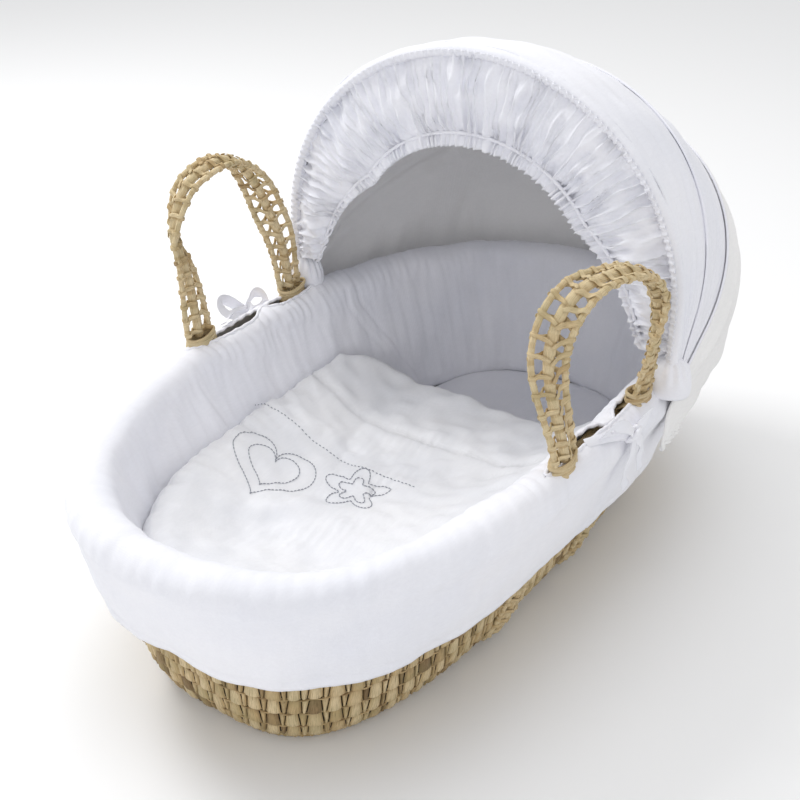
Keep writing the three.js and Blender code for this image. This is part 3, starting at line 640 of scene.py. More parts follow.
for side_name, side in SIDES.items():
    place, size = handle_place(side_name)
    open_strap(place, size, f"handle_{side_name}", f"handle_{side_name}",
               {"core": f"handle_core_{side_name}", "outer": f"handle_cord_{side_name}_outer",
                "inner": f"handle_cord_{side_name}_inner", "lattice": f"handle_lattice_{side_name}"})
    for leg_name, leg_y in LEGS.items():
        shared = Pile()
        wall_strap_place, wall_size = wall_place(side_name, leg_y, 15, 197)
        open_strap(wall_strap_place, wall_size, "strap", "basket", {"shared": shared})
        shared.make(f"strap_{side_name}_{leg_name}", CORD, "basket", [f"wall_strap_{side_name}_{leg_name}"])

        lashing = Pile()
        turns = np.radians(np.linspace(-62, 242, 26))
        for k in range(9):
            y = leg_y - 16.5 + k * 4.1 + rng.normal(0, 0.3)
            lean = rng.normal(0.8, 0.7) * np.linspace(-1, 1, 26)
            reach = 10.4 + rng.normal(0, 0.3)
            rise = 3.2 * np.exp(-(((turns - np.pi / 2) / 0.9) ** 2)) * (1 - ((k - 4) / 5.5) ** 2)
            base = side_wall(side, y + lean, WALL_TOP, BINDING_OFFSET + reach * np.cos(turns))
            line = base + np.stack([0 * turns, 0 * turns, BINDING_RISE + (reach + rise) * np.sin(turns)], -1)
            out = side_wall(side, y + lean, WALL_TOP, BINDING_OFFSET + (reach + 3) * np.cos(turns)) - base
            out[:, 2] += 3 * np.sin(turns)
            lashing.add_tube(line, 2.5, 8, out, False, 0.62, tone=random_tone())
        for k in range(5):
            around = np.linspace(0, 2 * np.pi, 40, endpoint=False)
            grow = 1 + 0.05 * rng.normal()
            centre = side_wall(side, leg_y, WALL_TOP, 1.0) + np.array([0, 0, 19.0 + 3.6 * k])
            tilt = rng.normal(0, 1.6)
            line = centre + np.stack([8.4 * grow * np.cos(around), 18.6 * grow * np.sin(around),
                                      tilt * np.sin(around) + 1.2 * np.cos(2 * around + k)], -1)
            out = np.stack([np.cos(around), np.sin(around) * 0.45, 0 * around], -1)
            lashing.add_tube(line, 2.4, 8, out, True, 0.65, tone=random_tone())
        for k, (start, finish) in enumerate(((-1, 1), (1, -1), (-0.3, 0.6))):
            reach = np.linspace(-1, 1, 18)
            y = leg_y + lerp(start, finish, (reach + 1) / 2) * 15
            bow = 11.5 * np.cos(reach * 1.25)
            line = side_wall(side, y, WALL_TOP, 1.5 + bow)
            line = np.stack([line[:, 0], y, 214 + 15 * reach * 0.9 + 4], -1)
            out = np.stack([side * np.cos(reach), 0 * reach, np.sin(reach) * 0.6], -1)
            lashing.add_tube(line, 2.6, 8, out, False, 0.6, tone=0.7 - 0.1 * k)
        lashing.make(f"knot_{side_name}_{leg_name}", CORD, "basket", [f"lashing_{side_name}_{leg_name}"])

# ---- dressing: padded liner, roll over the rim and outer skirt -----------------------------------

LINER_SECTION = [(-13, 56), (-17.5, 60), (-21.5, 72), (-22.5, 92), (-23.6, 130), (-24.6, 170), (-25, 196),
                 (-23.6, 212), (-17.5, 224.5), (-6, 230.3), (5, 228.8), (13, 221), (16, 209), (15.6, 196)]
SLOT = {"y0": -140, "y1": 78, "centre": 1.6, "half_width": 13.4}
SEAMS = [(147.5, 159), (-163.5, -158.5), (32.5, 21), (-16.5, -21.5), (103.2, 104.4)]


def surface_normals(points, wrap):
    du = (np.roll(points, -1, 0) - np.roll(points, 1, 0)) if wrap else np.gradient(points, axis=0)
    return unit(np.cross(du, np.gradient(points, axis=1)))


def thicken(piece, thickness, offset=0.0):
    modifier = piece.modifiers.new("thickness", "SOLIDIFY")
    modifier.thickness, modifier.offset = thickness * MM, offset
    return piece


def merge_doubles(piece):
    work = bmesh.new()
    work.from_mesh(piece.data)
    bmesh.ops.remove_doubles(work, verts=work.verts, dist=0.00002)
    work.to_mesh(piece.data)
    work.free()


def slot_half_width(points):
    along = (points[:, 1] - (SLOT["y0"] + SLOT["y1"]) / 2) / ((SLOT["y1"] - SLOT["y0"]) / 2)
    pinched = 1 - 0.82 * np.exp(-(((points[:, 1] + 17) / 15) ** 2))
    return SLOT["half_width"] * pinched * np.sqrt(np.clip(1 - np.abs(along) ** 2.4, 0, 1))


def dressing():
    rows, inner_count, outer_count = 620, 50, 46
    size = even_angles(WALL_TOP, 0, [0.0])[1]
    around = np.arange(rows) * size / rows
    angles = even_angles(WALL_TOP, 0, around)[0]
    rim_points = wall(angles, WALL_TOP, 0)
    half_width = slot_half_width(rim_points)
    hem = 107 - 2.5 * np.sin(angles) + 0.5 * Ripple(5, 900, 1)(around, 0)
    section = spline([(o, z, 0) for o, z in LINER_SECTION], 400)[:, :2]
    crest = section[120:330]
    pull = np.exp(-((np.abs(rim_points[:, 1] + 25) / 150) ** 6))
    broad, medium, fine = Ripple(11, 260, 150), Ripple(12, 85, 70), Ripple(13, 30, 90)
    tall, pucker = Ripple(14, 74, 330), Ripple(15, 15, 70)
    drape, flutter = Ripple(16, 150, 420), Ripple(17, 48, 260)
    halves = []
    for inner in (True, False):
        points, heights = [], []
        for i in range(rows):
            lip = SLOT["centre"] + (-1 if inner else 1) * half_width[i]
            cut = 120 + int(np.argmin(np.abs(crest[:, 0] - lip)))
            if inner:
                line = section[np.linspace(0, cut, inner_count).astype(int)]
            else:
                over = section[np.linspace(cut, 399, 18).astype(int)]
                down = np.stack([np.full(outer_count - 18, 15.2), np.linspace(191, hem[i], outer_count - 18)], 1)
                line = np.vstack([over, down])
            points.append(wall(angles[i], line[:, 1], line[:, 0]))
            heights.append(line[:, 1])
        halves.append((np.array(points), np.array(heights)))
    built = []
    for inner, (points, z) in zip((True, False), halves):
        a = around[:, None] + 0 * z
        lip = np.linspace(0, 1, z.shape[1])[None, :]
        lip = lip if inner else 1 - lip
        near_slot = pull[:, None] * np.exp(-(1 - lip) * 9)
        move = 1.3 * broad(a, z) + 0.55 * medium(a, z) + 0.2 * fine(a, z)
        gather = np.sin(2 * np.pi * a / 13.5 + 1.4 * medium(a, z))
        move += 1.2 * near_slot * gather + 0.35 * pucker(a, z) * np.exp(-((z - 216) / 16) ** 2)
        if inner:
            face = smooth(z, 60, 90) * (1 - smooth(z, 196, 214))
            move += face * (0.7 * tall(a, z) + 0.8 * near_slot * gather)
            for low, high in SEAMS:
                centre = np.radians(lerp(low, high, np.clip((z - 77) / 121, 0, 1)))
                off = (angles[:, None] - centre + np.pi) % (2 * np.pi) - np.pi
                d = off * np.linalg.norm(points[..., :2] - np.array([0, -25]), axis=-1)
                band = (1 - smooth(np.abs(d), 4, 5.5)) - 0.8 * np.exp(-((np.abs(d) - 6) / 1.3) ** 2)
                move += 0.9 * band * smooth(z, 60, 80) * (1 - smooth(z, 214, 228))
        else:
            fall = np.clip((205 - z) / 97, 0, 1)
            move += fall**1.3 * (0.9 * drape(a, z) + 0.22 * flutter(a, z)) + 1.2 * fall
            above = z - hem[:, None]
            move += 0.45 * (1 - smooth(above, 9, 12)) - 0.9 * np.exp(-((above - 12.5) / 1.8) ** 2)
            move += 0.3 * np.sin(2 * np.pi * a / 7.5) * np.exp(-((above - 12) / 7) ** 2)
        normal = surface_normals(points, True)
        faces_out = np.sign((normal * (rim_points[:, None] - [0, -25, 0])).sum(-1).mean())
        normal *= faces_out * (-1 if inner else 1)
        built.append(points + normal * move[..., None])
    inner_points, outer_points = built
    joined = half_width < 0.05
    seam = (inner_points[:, -1] + outer_points[:, 0]) / 2
    inner_points[joined, -1] = outer_points[joined, 0] = seam[joined]
    pile = Pile()
    pile.add(inner_points, grid_faces(rows, inner_count, True), 0.5)
    pile.add(outer_points, grid_faces(rows, outer_count, True), 0.5)
    piece = pile.make("cotton_dressing", COTTON, "basket", ["liner_panel", "liner_skirt"])
    merge_doubles(piece)
    thicken(piece, 1.8)
    return inner_points[:, -1], outer_points[:, 0], ~joined


inner_lip, outer_lip, is_open = dressing()
for side_name, side in SIDES.items():
    here = is_open & (side * inner_lip[:, 0] > 0)
    inner_run, outer_run = inner_lip[here], outer_lip[here]
    inner_run, outer_run = inner_run[np.argsort(inner_run[:, 1])], outer_run[np.argsort(outer_run[:, 1])]
    loop = np.vstack([inner_run, outer_run[::-1]])
    loop = np.vstack([loop, loop[:1]])
    reach = lengths_along(loop)
    even = np.linspace(0, reach[-1], 300, endpoint=False)
    loop = np.stack([np.interp(even, reach, loop[:, k]) for k in range(3)], -1)
    for _ in range(3):
        loop = (np.roll(loop, 1, 0) + 2 * loop + np.roll(loop, -1, 0)) / 4
    loop[:, 2] += 0.4
    cord = tube(loop, wrapped(1.9, 5.2, 0.12, 0.3, side), 8, np.tile([0.0, 0, 1], (300, 1)), True)
    one_piece(*cord[:2], f"slot_binding_{side_name}", COTTON, "basket", [f"slot_piping_{side_name}"])

# ---- tie bows ------------------------------------------------------------------------------------


# The near loop, the far loop, two tails, and the tape that reaches in over the slot.
BOW_TAPES = [
    ([(0, 5, 0), (-10, 8, 9), (-24, 8, 20), (-35, 4, 23), (-38, -1, 17), (-30, -4, 10), (-14, 1, 5),
      (0, 5, 0)], 11, [0, 0.5, 0.3, -0.4, -0.9, -0.4, 0]),
    ([(0, 5, 0), (8, 8, 7), (18, 9, 12), (25, 6, 9), (24, 1, 2), (14, 0, -1), (0, 4, -1)], 10,
     [0, 0.4, -0.3, -0.8, -0.3, 0]),
    ([(0, 6, -2), (-5, 8, -13), (-9, 6, -26), (-8, 4, -39), (-4, 5, -47)], 10.5, [0.2, -0.2, 0.3, -0.1]),
    ([(1, 6, -2), (9, 8, -9), (15, 6, -21), (18, 5, -33), (17, 6, -40)], 10, [-0.2, 0.3, -0.3, 0.1]),
    ([(0, 3, 0), (-16, 1, 6), (-34, -5, 10), (-50, -12, 11)], 8, [0.2, 0.4, 0.9]),
]


def tape(stations, width, pile, twist, thickness=1.3):
    """A soft flat tie: stations of (along the rim, out, up), its flat side facing out."""
    line = spline(stations, 60)
    share = np.linspace(0, 1, 60)
    turn = np.interp(share, np.linspace(0, 1, len(twist)), twist)
    normal = np.stack([0.35 * np.sin(turn), np.cos(turn), np.sin(turn)], -1)
    reach = along_radius(width / 2 * (1 - 0.5 * np.exp(-share * 14)))
    points, faces = tube(line, reach, 12, normal, False, thickness / width)[:2]
    points = points + np.random.default_rng(len(stations)).normal(0, 0.02, points.shape)
    pile.add(points, faces)


for side_name, side in SIDES.items():
    bow = Pile()
    for stations, width, twist in BOW_TAPES[:4]:
        tape(stations, width, bow, twist=twist)
    around = np.linspace(0, 2 * np.pi, 28, endpoint=False)
    for k in range(3):
        knot = np.stack([5.2 * np.cos(around) + 1.2 * (k - 1), 5 + 3.4 * np.sin(around),
                         4.4 * np.sin(around + 0.5 * k) * 0.7 + 1.6 * (k - 1)], -1)
        bow.add_plain_tube(knot, 2.3, 8, None, True)
    stations, width, twist = BOW_TAPES[4]
    tape(stations, width, bow, twist=twist)
    seat = side_wall(side, -17.0, WALL_TOP, 16.0) + np.array([0, 0, 17.0])
    for i, points in enumerate(bow.points):
        bow.points[i] = seat + 1.18 * np.stack([side * points[:, 1], points[:, 0], points[:, 2]], -1)
    if side > 0:
        bow.faces = [face[::-1] for face in bow.faces]
    bow.make(f"tape_bow_{side_name}", COTTON, "basket", [f"tie_bow_{side_name}"])

# ---- bedding -------------------------------------------------------------------------------------


def mattress(name, node, offset, low, high, round_off, material):
    rows = 260
    size = even_angles(40, offset, [0.0])[1]
    angles = even_angles(40, offset, np.arange(rows) * size / rows)[0]
    creep, dimple = Ripple(31, 120, 120), Ripple(32, 28, 40)
    rings, middle = [], np.array([0, -11, 0])
    inset = round_off / 130
    profile = [(0.02, high + 1.5), (0.25, high + 1.4), (0.5, high + 1.0), (0.7, high + 0.6), (0.85, high + 0.3)]
    profile += [(1 - inset * (1 - math.sin(t)), high - round_off * (1 - math.cos(t)))
                for t in np.linspace(0, np.pi / 2, 8)]
    profile.append((1.006, lerp(high, low, 0.5)))
    profile += [(1 - inset * (1 - math.cos(t)), low + round_off * (1 - math.sin(t)))
                for t in np.linspace(0, np.pi / 2, 6)]
    for share, z in profile + [(0.6, low), (0.02, low)]:
        ring = wall(angles, min(z, 40), offset)
        ring[:, 2] = z
        ring[:, :2] = middle[:2] + (ring[:, :2] - middle[:2]) * share
        dented = 0.7 * creep(ring[:, 0], ring[:, 1]) + 0.35 * dimple(ring[:, 0], ring[:, 1])
        ring[:, 2] += dented * (z > low + 12)
        rings.append(ring)
    faces = grid_faces(len(rings), rows, False, True).tolist() + end_caps(len(rings), rows)
    piece = one_piece(np.array(rings), faces, name, material, "mattress", [node])


mattress("mattress_pad", "mattress_foam", -14.5, 12.2, 55.5, 10, FOAM)
mattress("fitted_sheet", "mattress_sheet", -9.9, 9.8, 59.4, 7, COTTON)

COVER = {"centre": np.array([0.0, -110.0]), "low": 61.0, "offset": -27.0, "middle": 114.0, "edge": 155.0}


def cover_outline(theta, z):
    """How far the coverlet reaches from its middle in a direction: to the liner, and to its head edge."""
    ring = wall(np.linspace(0, 2 * np.pi, 1441)[:-1], z, COVER["offset"])[:, :2] - COVER["centre"]
    heading = np.arctan2(ring[:, 1], ring[:, 0])
    order = np.argsort(heading)
    to_wall = np.interp(theta, heading[order], np.linalg.norm(ring, axis=1)[order], period=2 * np.pi)
    to_edge = np.full_like(theta, 900.0)
    rising = np.sin(theta) > 0.05
    for _ in range(12):
        x = to_edge * np.cos(theta)
        head_y = 119 - 42 * smooth(-x, 95, 185) - 14 * smooth(x, 50, 160)
        to_edge = np.where(rising, (head_y - COVER["centre"][1]) / np.maximum(np.sin(theta), 0.05), 900.0)
    return to_wall, (to_wall**-16.0 + to_edge**-16.0) ** (-1 / 16)


cover_broad, cover_medium, cover_fine = Ripple(21, 170, 150), Ripple(22, 62, 54), Ripple(23, 24, 30)
cover_pucker, cover_wave = Ripple(24, 9, 60), Ripple(25, 20, 200)


def cover_top(x, y):
    """Height of the coverlet's top: a puffy rim against the liner, a sewn channel, and soft creases."""
    dx, dy = x - COVER["centre"][0], y - COVER["centre"][1]
    theta = np.arctan2(dy, dx)
    to_wall, to_edge = cover_outline(theta, 150.0)
    reach = np.hypot(dx, dy)
    away = np.clip(to_wall - reach, 0, 400)
    rim = np.interp(away, [0, 12, 30, 55, 85, 125, 400],
                    [151, COVER["edge"], 152, 141, 128, 118.5, COVER["middle"]])
    head = np.exp(-(np.clip(to_edge - reach, 0, 400) / 60) ** 2) * smooth(y, 40, 110)
    z = rim + 4 * head + 1.8 * cover_broad(x, y) + 0.8 * cover_medium(x, y) + 0.4 * cover_fine(x, y)
    z = z + 1.3 * cover_wave(theta * 210, 0) * np.exp(-((away - 8) / 26) ** 2)
    channel = 11 + 0.035 * x
    near = np.abs(y - channel)
    z = z + 1.7 * np.exp(-((near - 13) / 10) ** 2) - 3.4 * np.exp(-((near / 3.2) ** 2))
    return z + 0.55 * cover_pucker(x, 0) * np.exp(-(near / 14) ** 2)


def coverlet():
    rows = 300
    theta = np.linspace(-np.pi, np.pi, rows, endpoint=False)
    rings = []
    reach = cover_outline(theta, 150.0)[1]
    for share in np.concatenate([[0.01], np.linspace(0.04, 0.9, 40), np.linspace(0.915, 1.0, 14)]):
        left = reach * (1 - share)
        x = COVER["centre"][0] + reach * share * np.cos(theta)
        y = COVER["centre"][1] + reach * share * np.sin(theta)
        z = cover_top(x, y)
        drop = np.clip((15 - left) / 15, 0, 1)
        rings.append(np.stack([x, y, z - 15 * (1 - np.sqrt(1 - drop**2 * 0.999))], -1))
    for share in np.linspace(0.12, 1, 10):
        z = lerp(rings[54][:, 2], COVER["low"], share)
        below = cover_outline(theta, 75.0)[1]
        r = lerp(reach, np.minimum(below, reach), share) - 5 * share**3
        x, y = COVER["centre"][0] + r * np.cos(theta), COVER["centre"][1] + r * np.sin(theta)
        rings.append(np.stack([x, y, z], -1))
    last = rings[-1]
    for share in (0.6, 0.02):
        ring = last.copy()
        ring[:, :2] = COVER["centre"] + (last[:, :2] - COVER["centre"]) * share
        rings.append(ring)
    faces = grid_faces(len(rings), rows, False, True).tolist() + end_caps(len(rings), rows)
    piece = one_piece(np.array(rings), faces, "quilted_coverlet", QUILT, "coverlet", ["coverlet"])


coverlet()


def on_cover(xy, lift):
    return np.stack([xy[:, 0], xy[:, 1], cover_top(xy[:, 0], xy[:, 1]) + lift], -1)


def stitches(line, length, gap, radius, pile):
    """Separate stitches laid along a line on the coverlet."""
    reach = lengths_along(line)
    for start in np.arange(0, reach[-1] - length, length + gap):
        s = np.linspace(start, start + length, 7)
        xy = np.stack([np.interp(s, reach, line[:, 0]), np.interp(s, reach, line[:, 1])], -1)
        path = on_cover(xy, 0.1 + 0.75 * radius * np.sin(np.linspace(0, np.pi, 7)))
        pile.add_plain_tube(path, along_radius(radius * np.sin(np.linspace(0.35, np.pi - 0.35, 7))), 6)


def closed_line(shape, centre, scale, turn):
    t = np.linspace(0, 2 * np.pi, 361)
    x, y = shape(t)
    c, s = math.cos(turn), math.sin(turn)
    return np.stack([centre[0] + scale * (c * x - s * y), centre[1] + scale * (s * x + c * y)], -1)


def heart(t):
    return np.sin(t) ** 3, (13 * np.cos(t) - 5 * np.cos(2 * t) - 2 * np.cos(3 * t) - np.cos(4 * t)) / 16


def star(t):
    return (0.74 + 0.26 * np.cos(5 * t)) * np.sin(t), (0.74 + 0.26 * np.cos(5 * t)) * np.cos(t)


thread = Pile()
row_x = np.linspace(-178, 34, 200)
stitches(np.stack([row_x, -76 + 0.045 * row_x], -1), 2.6, 1.9, 0.55, thread)
for shape, centre, scale, turn in ((heart, (-98, -148), 44, 0.25), (heart, (-98, -146), 27, 0.25),
                                   (star, (-16, -112), 36, 0.35), (star, (-16, -112), 20, 0.35)):
    stitches(closed_line(shape, centre, scale, turn), 3.4, 0.5, 0.6, thread)
thread.make("embroidery", THREAD, "coverlet", slot="coverlet")
pipe = Pile()
row_x = np.linspace(-150, 150, 260)
stitches(np.stack([row_x, 11 + 0.035 * row_x], -1), 2.4, 1.6, 0.35, pipe)
pipe.make("channel_stitching", QUILT, "coverlet", slot="coverlet")

# ---- hood ----------------------------------------------------------------------------------------

HOOD = {"y": 72, "z": 240, "half_width": 243, "rise": 230, "centre": 66, "leg_turn": 0.09, "eye_reach": 6}
TUNNEL_INSET = 10.4
FRILL_INSET, FRILL_WIDTH, FRILL_FOOT = 17.4, 74, 16


def hood(turn, inset, phi):
    """A point on the hood's arch: turn 0 at the right foot, 1 at the left; phi 90 upright, 0 lying back."""
    turn, inset, phi = np.broadcast_arrays(np.asarray(turn, float), inset, phi)
    rise = HOOD["rise"] + 52 * (1 - smooth(phi, 10, 60))
    half, sign = np.minimum(turn, 1 - turn), np.where(turn <= 0.5, 1, -1)
    arc = np.pi / 2 * (half - HOOD["leg_turn"]) / (0.5 - HOOD["leg_turn"])
    on_leg = half < HOOD["leg_turn"]
    x = np.where(on_leg, HOOD["half_width"] - inset, (HOOD["half_width"] - inset) * np.cos(arc))
    reach = np.where(on_leg, lerp(HOOD["eye_reach"], HOOD["centre"], half / HOOD["leg_turn"]),
                     HOOD["centre"] + (rise - inset) * np.sin(arc))
    angle = np.radians(phi)
    return np.stack([sign * x, HOOD["y"] + reach * np.cos(angle), HOOD["z"] + reach * np.sin(angle)], -1)


def arch_turns(inset, phi, count, start=0.012):
    fine = np.linspace(start, 1 - start, 2001)
    reach = lengths_along(hood(fine, inset, phi))
    return np.interp(np.linspace(0, reach[-1], count), reach, fine), np.linspace(0, reach[-1], count)


def outward(points):
    """Normals of an open grid, turned away from the middle of the hood."""
    normal = surface_normals(points, False)
    away = points - np.array([0, HOOD["y"] + 60, HOOD["z"]])
    return normal * np.where((normal * away).sum(-1, keepdims=True) < 0, -1, 1)


def gore(name, node, body, start, end, inset, folds):
    """One band of the hood's cloth from start to end degrees, with folds of (centre, depth, width)."""
    turns, around = arch_turns(inset, (start + end) / 2, 330)
    phi = np.linspace(start, end, 34)
    points = hood(turns[:, None], inset, phi[None, :])
    normal = outward(points)
    legs = np.exp(-(np.minimum(turns, 1 - turns) / 0.2) ** 2)[:, None]
    move = 0 * points[..., 0]
    for centre, depth, width in folds:
        wander = centre + 2.5 * np.sin(turns * 9 + centre)[:, None] * (1 - legs)
        move -= depth * (0.35 + 0.65 * legs) * np.exp(-(((phi[None, :] - wander) / width) ** 2))
    inside = smooth(np.minimum(turns, 1 - turns), 0.02, 0.12)[:, None]
    slack = 0.8 + 0.8 * Ripple(int(start), 120, 30)(around[:, None], phi[None, :] * 4)
    move -= inside * slack * smooth(phi[None, :] - end, 2, 8)
    edge = np.minimum(np.abs(phi - start), np.abs(phi - end))[None, :]
    move += 0.5 * np.exp(-((edge - 0.4) / 0.35) ** 2) - 0.5 * np.exp(-((edge - 1.6) / 0.4) ** 2)
    points = points + normal * move[..., None]
    piece = thicken(one_piece(points, grid_faces(*points.shape[:2]), name, COTTON, body, [node]), 1.1)


gore("canopy_front_gore", "hood_canopy_front", "hood_front", 90, 58.6, 4.5,
     [(84, 2.4, 1.8), (76, 4.6, 2.6), (69.5, 2.6, 1.6)])
gore("canopy_middle_gore", "hood_canopy_middle", "hood_middle", 61.2, 30.5, 2.4,
     [(53, 1.2, 1.8), (45, 1.8, 2.4)])



def rolled_edge(name, body, node, inset, phi, radius):
    """A narrow rolled hem along the edge of a gore, lying on the gore beneath."""
    turns, _ = arch_turns(inset, phi, 360)
    cord = tube(hood(turns, inset, phi), wrapped(radius, 7.0, 0.1, 0.3, phi), 8)
    one_piece(*cord[:2], name, COTTON, body, slot=node)


rolled_edge("middle_gore_hem", "hood_middle", "hood_canopy_middle", 2.2, 61.2, 1.4)
rolled_edge("rear_panel_hem", "basket", "hood_canopy_rear", -0.5, 33.5, 1.3)

REAR = {"side_out": 22, "bulge_out": 41, "bulge_z": 206, "hem_out": 18.8, "hem_z": 164, "side_y": 62}

# Where down the rear panel, how high, how wide, and where round the hood.
REAR_FOLDS = [(0.13, 7.0, 0.035, 0.74), (0.24, 8.0, 0.045, 0.66), (0.36, 6.0, 0.04, 0.3), (0.2, 5.0, 0.03, 0.2)]


def hem_line(u, out, z):
    """A line round the head end, from one side of the hood to the other."""
    start = math.asin((REAR["side_y"] - RIM["centre_y"]) / RIM["head"])
    points = wall(lerp(start, np.pi - start, u - 0.07 * np.sin(2 * np.pi * u)), WALL_TOP, out)
    points[..., 2] = z
    return points


def rear_canopy():
    columns, rows = 300, 74
    u = np.linspace(0, 1, columns)
    turns = lerp(0.012, 0.988, u)
    bulge = lerp(REAR["side_out"], REAR["bulge_out"], np.sqrt(np.sin(np.pi * u)))
    tops = [hood(turns, 0, phi) for phi in (33.5, 22, 12)]
    bottoms = [hem_line(u, bulge, REAR["bulge_z"] + 0 * u),
               hem_line(u, REAR["hem_out"] + 2, REAR["hem_z"] + 14 + 0 * u),
               hem_line(u, REAR["hem_out"], REAR["hem_z"] + 2.2 * np.sin(u * 40))]
    points = np.array([spline([line[i] for line in tops + bottoms], rows) for i in range(columns)])
    down = lengths_along(points[columns // 2])
    share = (down / down[-1])[None, :]
    around = lengths_along(points[:, -20])[:, None]
    edge = smooth(np.minimum(u, 1 - u), 0.0, 0.06)[:, None]
    fold, billow, crease = Ripple(51, 70, 900), Ripple(52, 190, 260), Ripple(53, 36, 400)
    move = edge * (2.6 * billow(around, share * 300) * smooth(share, 0.1, 0.5)
                   + 2.2 * fold(around, share * 300) * smooth(share, 0.35, 0.9)
                   + 1.0 * crease(around, share * 300) * smooth(share, 0.5, 1.0))
    gathers = np.sin(2 * np.pi * around / 12.5 + 0.8 * fold(around, 0))
    move += 1.6 * gathers * np.exp(-((1 - share) / 0.11) ** 2)
    move += 1.0 * np.exp(-((share - 0.012) / 0.01) ** 2) + 1.2 * np.exp(-((share - 0.985) / 0.02) ** 2)
    move += edge * 1.4
    for centre, depth, width, side_u in REAR_FOLDS:
        line = centre + 0.1 * (u[:, None] - side_u)
        reach = np.exp(-(((u[:, None] - side_u) / 0.3) ** 4))
        move += edge * depth * np.exp(-(((share - line) / width) ** 2)) * reach
    points = points + outward(points) * move[..., None]
    piece = thicken(one_piece(points, grid_faces(columns, rows), "canopy_rear_panel", CREAM, "basket",
                              ["hood_canopy_rear"]), 1.1)
    hem = points[:, -1].copy()
    hem[:, 2] -= 1.5
    cord = tube(hem, wrapped(2.6, 6.0, 0.18, 0.4, 2), 8)
    one_piece(*cord[:2], "canopy_hem_roll", CREAM, "basket", ["hood_hem_elastic"])


rear_canopy()

turns, _ = arch_turns(TUNNEL_INSET, 90, 420)
tunnel = tube(hood(turns, TUNNEL_INSET, 90), wrapped(6.6, 6.4, 0.07, 0.25, 4), 14,
              np.tile([0.0, -1, 0], (420, 1)))
one_piece(*tunnel[:2], "hoop_tunnel", COTTON, "hood_front", slot="hood_canopy_front")


def frill():
    columns = 640
    turns, around = arch_turns(FRILL_INSET + 30, 90, columns, 0.028)
    width = lerp(FRILL_FOOT, FRILL_WIDTH, np.minimum(1, np.sin(np.pi * turns) * 1.5))
    v = np.concatenate([np.linspace(-0.07, 1, 24), 1 + np.array([0.025, 0.05, 0.08, 0.11, 0.145, 0.18])])
    points = hood(turns[:, None], FRILL_INSET + width[:, None] * v[None, :], 90)
    ruffle = np.clip((v - 1) / 0.18, 0, 1)[None, :]
    inner = np.clip(v, 0, 1)[None, :]
    a = around[:, None]
    wander, drift, size = Ripple(61, 62, 1), Ripple(62, 38, 0.9), Ripple(63, 90, 0.7)
    phase = 2 * np.pi * a / 9.6 + 1.6 * wander(a, 0 * inner) + 0.9 * drift(a, inner)
    drawn = np.exp(-((v[None, :] - 1) / 0.03) ** 2)
    depth = (1.3 + 1.9 * np.abs(2 * inner - 1) ** 0.7) * (1 + 0.35 * size(a, inner)) * (1 - 0.55 * drawn)
    wave = np.sin(phase) + 0.35 * np.sin(2.1 * phase + 1.3) + 0.22 * np.sin(3.3 * phase + 4 * inner)
    forward = 7.5 * np.sin(np.pi * np.clip(inner, 0, 1)) + depth * wave + 1.2 * Ripple(64, 26, 0.5)(a, inner)
    flare = ruffle * (2.9 * np.sin(phase + 0.6) + 0.9 * np.sin(2.4 * phase) + 2.4)
    points[..., 1] -= forward * (1 - ruffle) + flare + 2.0 - 2.6 * drawn
    tangent = unit(np.gradient(hood(turns, FRILL_INSET + 30, 90), axis=0))[:, None]
    points += tangent * (1.5 * np.cos(phase) * depth / 3)[..., None]
    piece = thicken(one_piece(points, grid_faces(columns, len(v)), "gathered_frill", COTTON, "hood_front",
                              ["hood_frill"]), 0.9)
    band = hood(turns, FRILL_INSET + width + 0.3, 90)
    band[:, 1] -= 1.0
    cord = tube(band, wrapped(2.0, 4.8, 0.25, 0.5, 8), 8)
    one_piece(*cord[:2], "frill_gather_cord", COTTON, "hood_front", ["frill_elastic"])
    edge = hood(turns, FRILL_INSET - 1.5, 90)
    edge[:, 1] -= 4.2 + 1.6 * np.sin(2 * np.pi * around / 6.2 + np.sin(around / 17))
    top = hood(turns, FRILL_INSET - 8.5, 90)
    top[:, 1] -= 7.4 + 2.2 * np.sin(2 * np.pi * around / 6.2 + 1 + np.sin(around / 17))
    rows = np.stack([lerp(edge, top, s) for s in (0, 0.35, 0.7, 1)], 1)
    piece = thicken(one_piece(rows, grid_faces(columns, 4), "frill_heading", COTTON, "hood_front",
                              slot="hood_frill"), 0.8)


frill()


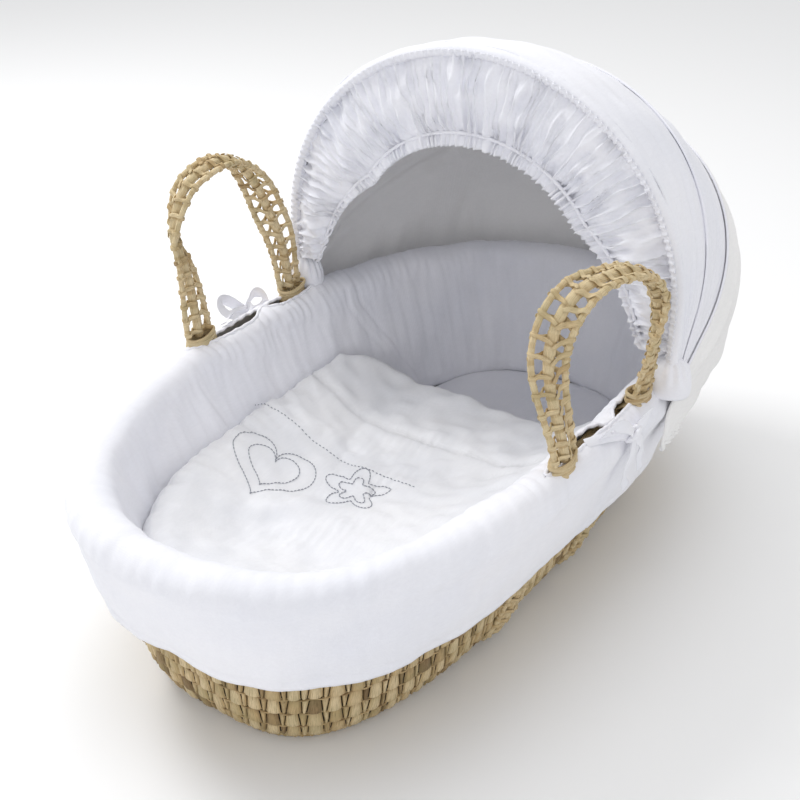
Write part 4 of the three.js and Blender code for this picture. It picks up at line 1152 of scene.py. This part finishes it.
def pivot_cover(side_name, side):
    """A gathered end of the hood's cloth, closed over the pivot and spreading onto the padded rim."""
    middle = np.array([side * (HOOD["half_width"] - 14.5), HOOD["y"] + 5.0, HOOD["z"] + 1.0])
    turn, drop = np.meshgrid(np.linspace(0, 2 * np.pi, 120, endpoint=False), np.linspace(0, 1, 34), indexing="ij")
    lean = np.pi * (0.04 + 0.62 * drop)
    fullness = np.sin(np.pi * np.clip(drop * 1.2, 0, 1)) ** 0.7
    pleat = 1 + 0.075 * np.sin(13 * turn + 1.5 * np.sin(2 * turn)) * fullness
    flare = 1 + 0.25 * smooth(drop, 0.62, 1.0)
    across, along, up = 20.5 * pleat * flare, 17.5 * pleat * flare, 19.0
    skirt = up * np.cos(np.pi * (0.04 + 0.62 * 0.72)) - 34 * (drop - 0.72) / 0.28 * 0.62
    z = np.where(drop < 0.72, up * np.cos(lean), skirt)
    points = middle + np.stack([side * across * np.sin(lean) * np.cos(turn),
                                along * np.sin(lean) * np.sin(turn), z + 3.0], -1)
    pile = Pile()
    pile.add(points, grid_faces(120, 34, True))
    pile.add(points[:, 0], [list(range(120))])
    piece = thicken(pile.make(f"hood_end_{side_name}", COTTON, "basket", slot="hood_canopy_rear"), 1.0)


for side_name, side in SIDES.items():
    pivot_cover(side_name, side)
    repaint(f"hood_pin_{side_name}", STEEL)
    repaint(f"hood_clip_{side_name}", PLASTIC)
repaint("hood_front_hoop", STEEL)
repaint("hood_middle_hoop", STEEL)

# ---- studio --------------------------------------------------------------------------------------


def studio():
    made = Nodes("pale_floor", 0.9)
    made.shader.inputs["Base Color"].default_value = linear(250, 250, 250)
    mesh = bpy.data.meshes.new("floor")
    mesh.from_pydata([(-9, -9, 0), (9, -9, 0), (9, 9, 0), (-9, 9, 0)], [], [(0, 1, 2, 3)])
    mesh.materials.append(made.material)
    floor = bpy.data.objects.new("floor", mesh)
    bpy.context.scene.collection.objects.link(floor)
    world = bpy.data.worlds.new("studio")
    world.use_nodes = True
    world.node_tree.nodes["Background"].inputs["Color"].default_value = (0.985, 0.99, 1.0, 1)
    world.node_tree.nodes["Background"].inputs["Strength"].default_value = 0.74
    bpy.context.scene.world = world
    bpy.context.scene.view_settings.view_transform = "Standard"
    for name, spot, size, power in (("key", (-1.7, -0.1, 2.0), 0.9, 27), ("fill", (0.9, -2.6, 1.5), 2.0, 7),
                                    ("top", (-0.1, 0.3, 2.8), 1.6, 9)):
        lamp = bpy.data.objects.new(name, bpy.data.lights.new(name, "AREA"))
        lamp.data.energy, lamp.data.size = power, size
        lamp.location = spot
        lamp.rotation_mode = "QUATERNION"
        lamp.rotation_quaternion = (Vector(spot) - Vector((0, 0, 0.2))).to_track_quat("Z", "Y")
        bpy.context.scene.collection.objects.link(lamp)


studio()
